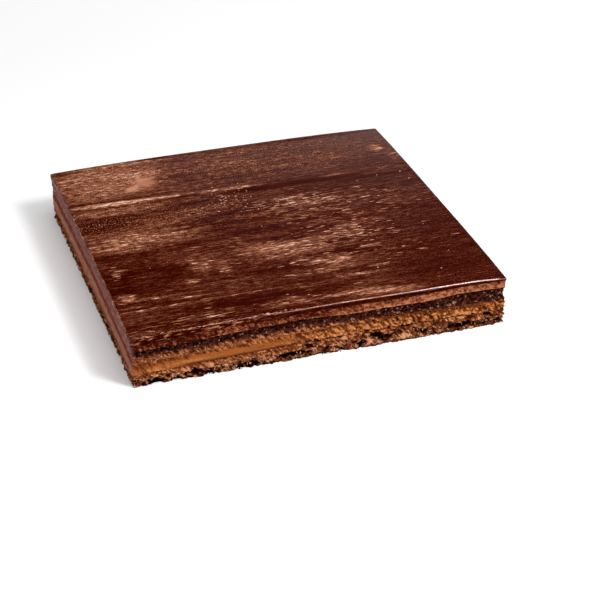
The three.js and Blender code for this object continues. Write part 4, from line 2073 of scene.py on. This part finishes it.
@dataclass
class Studio:
    """A plain pale floor, soft lights and the camera."""

    floor_size: float = 8.0
    floor_colour: Colour = (0.9, 0.9, 0.9, 1.0)
    floor_roughness: float = 0.8
    floor_specular: float = 0.1
    surroundings: float = 0.04
    camera_place: Triple = (-0.3615, -1.1752, 0.6864)
    camera_tilt: float = 59.74
    camera_turn: float = -18.326
    lens: float = 106.69
    sensor: float = 36.0

    def build_floor(self) -> bpy.types.Object:
        """Lay the floor under the cake.

        Returns:
            The floor.
        """
        half = self.floor_size / 2
        mesh = bpy.data.meshes.new("floor")
        corners = [(-half, -half, 0), (half, -half, 0), (half, half, 0), (-half, half, 0)]
        mesh.from_pydata(corners, [], [(0, 1, 2, 3)])
        floor = bpy.data.objects.new("floor", mesh)
        made, tree, shader = new_material("floor_finish")
        tree.feed_all(shader, {"Base Color": self.floor_colour, "Roughness": self.floor_roughness})
        tree.feed(shader.inputs["Specular IOR Level"], self.floor_specular)
        mesh.materials.append(made)
        bpy.context.scene.collection.objects.link(floor)
        return floor

    def build_lights(self) -> None:
        """Hang the lights and set the faint surroundings."""
        for lamp in LAMPS:
            lamp.hang()
        world = bpy.data.worlds.new("surroundings")
        world.use_nodes = True
        ground = world.node_tree.nodes["Background"]
        ground.inputs["Color"].default_value = (1.0, 1.0, 1.0, 1.0)
        ground.inputs["Strength"].default_value = self.surroundings
        bpy.context.scene.world = world

    def build_camera(self) -> bpy.types.Object:
        """Set the camera at the photo's angle.

        Returns:
            The camera.
        """
        data = bpy.data.cameras.new("camera")
        data.lens = self.lens
        data.sensor_width = self.sensor
        camera = bpy.data.objects.new("camera", data)
        camera.location = self.camera_place
        camera.rotation_euler = (math.radians(self.camera_tilt), 0.0, math.radians(self.camera_turn))
        bpy.context.scene.collection.objects.link(camera)
        bpy.context.scene.camera = camera
        bpy.context.scene.view_settings.view_transform = "Standard"
        return camera


BASE_FINISH = CrumbFinish(
    dark=srgb(52, 18, 8),
    middle=srgb(114, 62, 40),
    light=srgb(206, 147, 108),
    gap=srgb(10, 3, 1),
    film=srgb(80, 36, 22),
    film_cover=0.35,
    roughness=0.75,
    grain_scale=900.0,
    grain_depth=0.35,
    speck_depth=1.9,
)
LOWER_FINISH = CrumbFinish(
    dark=srgb(76, 32, 15),
    middle=srgb(124, 66, 36),
    light=srgb(192, 130, 88),
    gap=srgb(24, 7, 2),
    film=srgb(138, 80, 58),
    film_cover=0.6,
    roughness=0.7,
    grain_scale=1000.0,
    grain_depth=0.26,
    speck_depth=1.8,
)
CARAMEL_FINISH = CrumbFinish(
    dark=srgb(96, 44, 17),
    middle=srgb(150, 83, 37),
    light=srgb(198, 127, 74),
    gap=srgb(66, 27, 9),
    film=srgb(150, 93, 72),
    film_cover=0.85,
    roughness=0.5,
    grain_scale=900.0,
    grain_depth=0.12,
    speck_depth=1.0,
    specular=0.03,
)
MIDDLE_FINISH = CrumbFinish(
    dark=srgb(62, 24, 12),
    middle=srgb(126, 68, 39),
    light=srgb(192, 126, 84),
    gap=srgb(34, 11, 4),
    film=srgb(114, 62, 54),
    film_cover=0.9,
    roughness=0.62,
    grain_scale=900.0,
    grain_depth=0.2,
    speck_depth=1.8,
)
SPONGE_FINISH = CrumbFinish(
    dark=srgb(36, 12, 7),
    middle=srgb(76, 36, 26),
    # Light: bluish-grey, reached mostly at the painted glints
    light=srgb(146, 108, 96),
    gap=srgb(8, 2, 1),
    film=srgb(150, 99, 92),
    film_cover=0.92,
    roughness=0.6,
    grain_scale=1100.0,
    grain_depth=0.3,
    speck_depth=1.2,
)
TOP_FINISH = CrumbFinish(
    dark=srgb(50, 12, 5),
    middle=srgb(112, 54, 33),
    light=srgb(167, 105, 73),
    gap=srgb(46, 15, 7),
    film=srgb(131, 91, 88),
    film_cover=0.92,
    roughness=0.5,
    grain_scale=800.0,
    grain_depth=0.14,
    speck_depth=1.7,
)


def main() -> None:
    """Build the layers from the underside up, then the glaze, the small things on it and the studio."""
    logging.basicConfig(level=logging.INFO, format="%(message)s")
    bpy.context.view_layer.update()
    outline = Outline()
    stack = Stack(outline, WallNoise(outline.perimeter))
    effects = Effects()
    layers: list[Layer] = [
        CrunchBase("crunch_base", 0, 15, BASE_FINISH),
        LowerMousse("lower_mousse", 1, 12, LOWER_FINISH),
        Caramel("caramel", 2, 15, CARAMEL_FINISH),
        MiddleMousse("middle_mousse", 3, 10, MIDDLE_FINISH),
        Sponge("sponge", 4, 12, SPONGE_FINISH),
        TopMousse("top_mousse", 5, 12, TOP_FINISH),
    ]
    for layer in layers:
        piece = layer.build(outline, stack, effects)
        LOG.info("%s: %d faces", piece.name, len(piece.data.polygons))
    glaze = Glaze()
    for piece in (glaze.build(outline, stack), Flecks().build(outline, glaze), Rubble().build(outline)):
        LOG.info("%s: %d faces", piece.name, len(piece.data.polygons))
    studio = Studio()
    studio.build_floor()
    studio.build_lights()
    studio.build_camera()


if __name__ == "__main__":
    main()
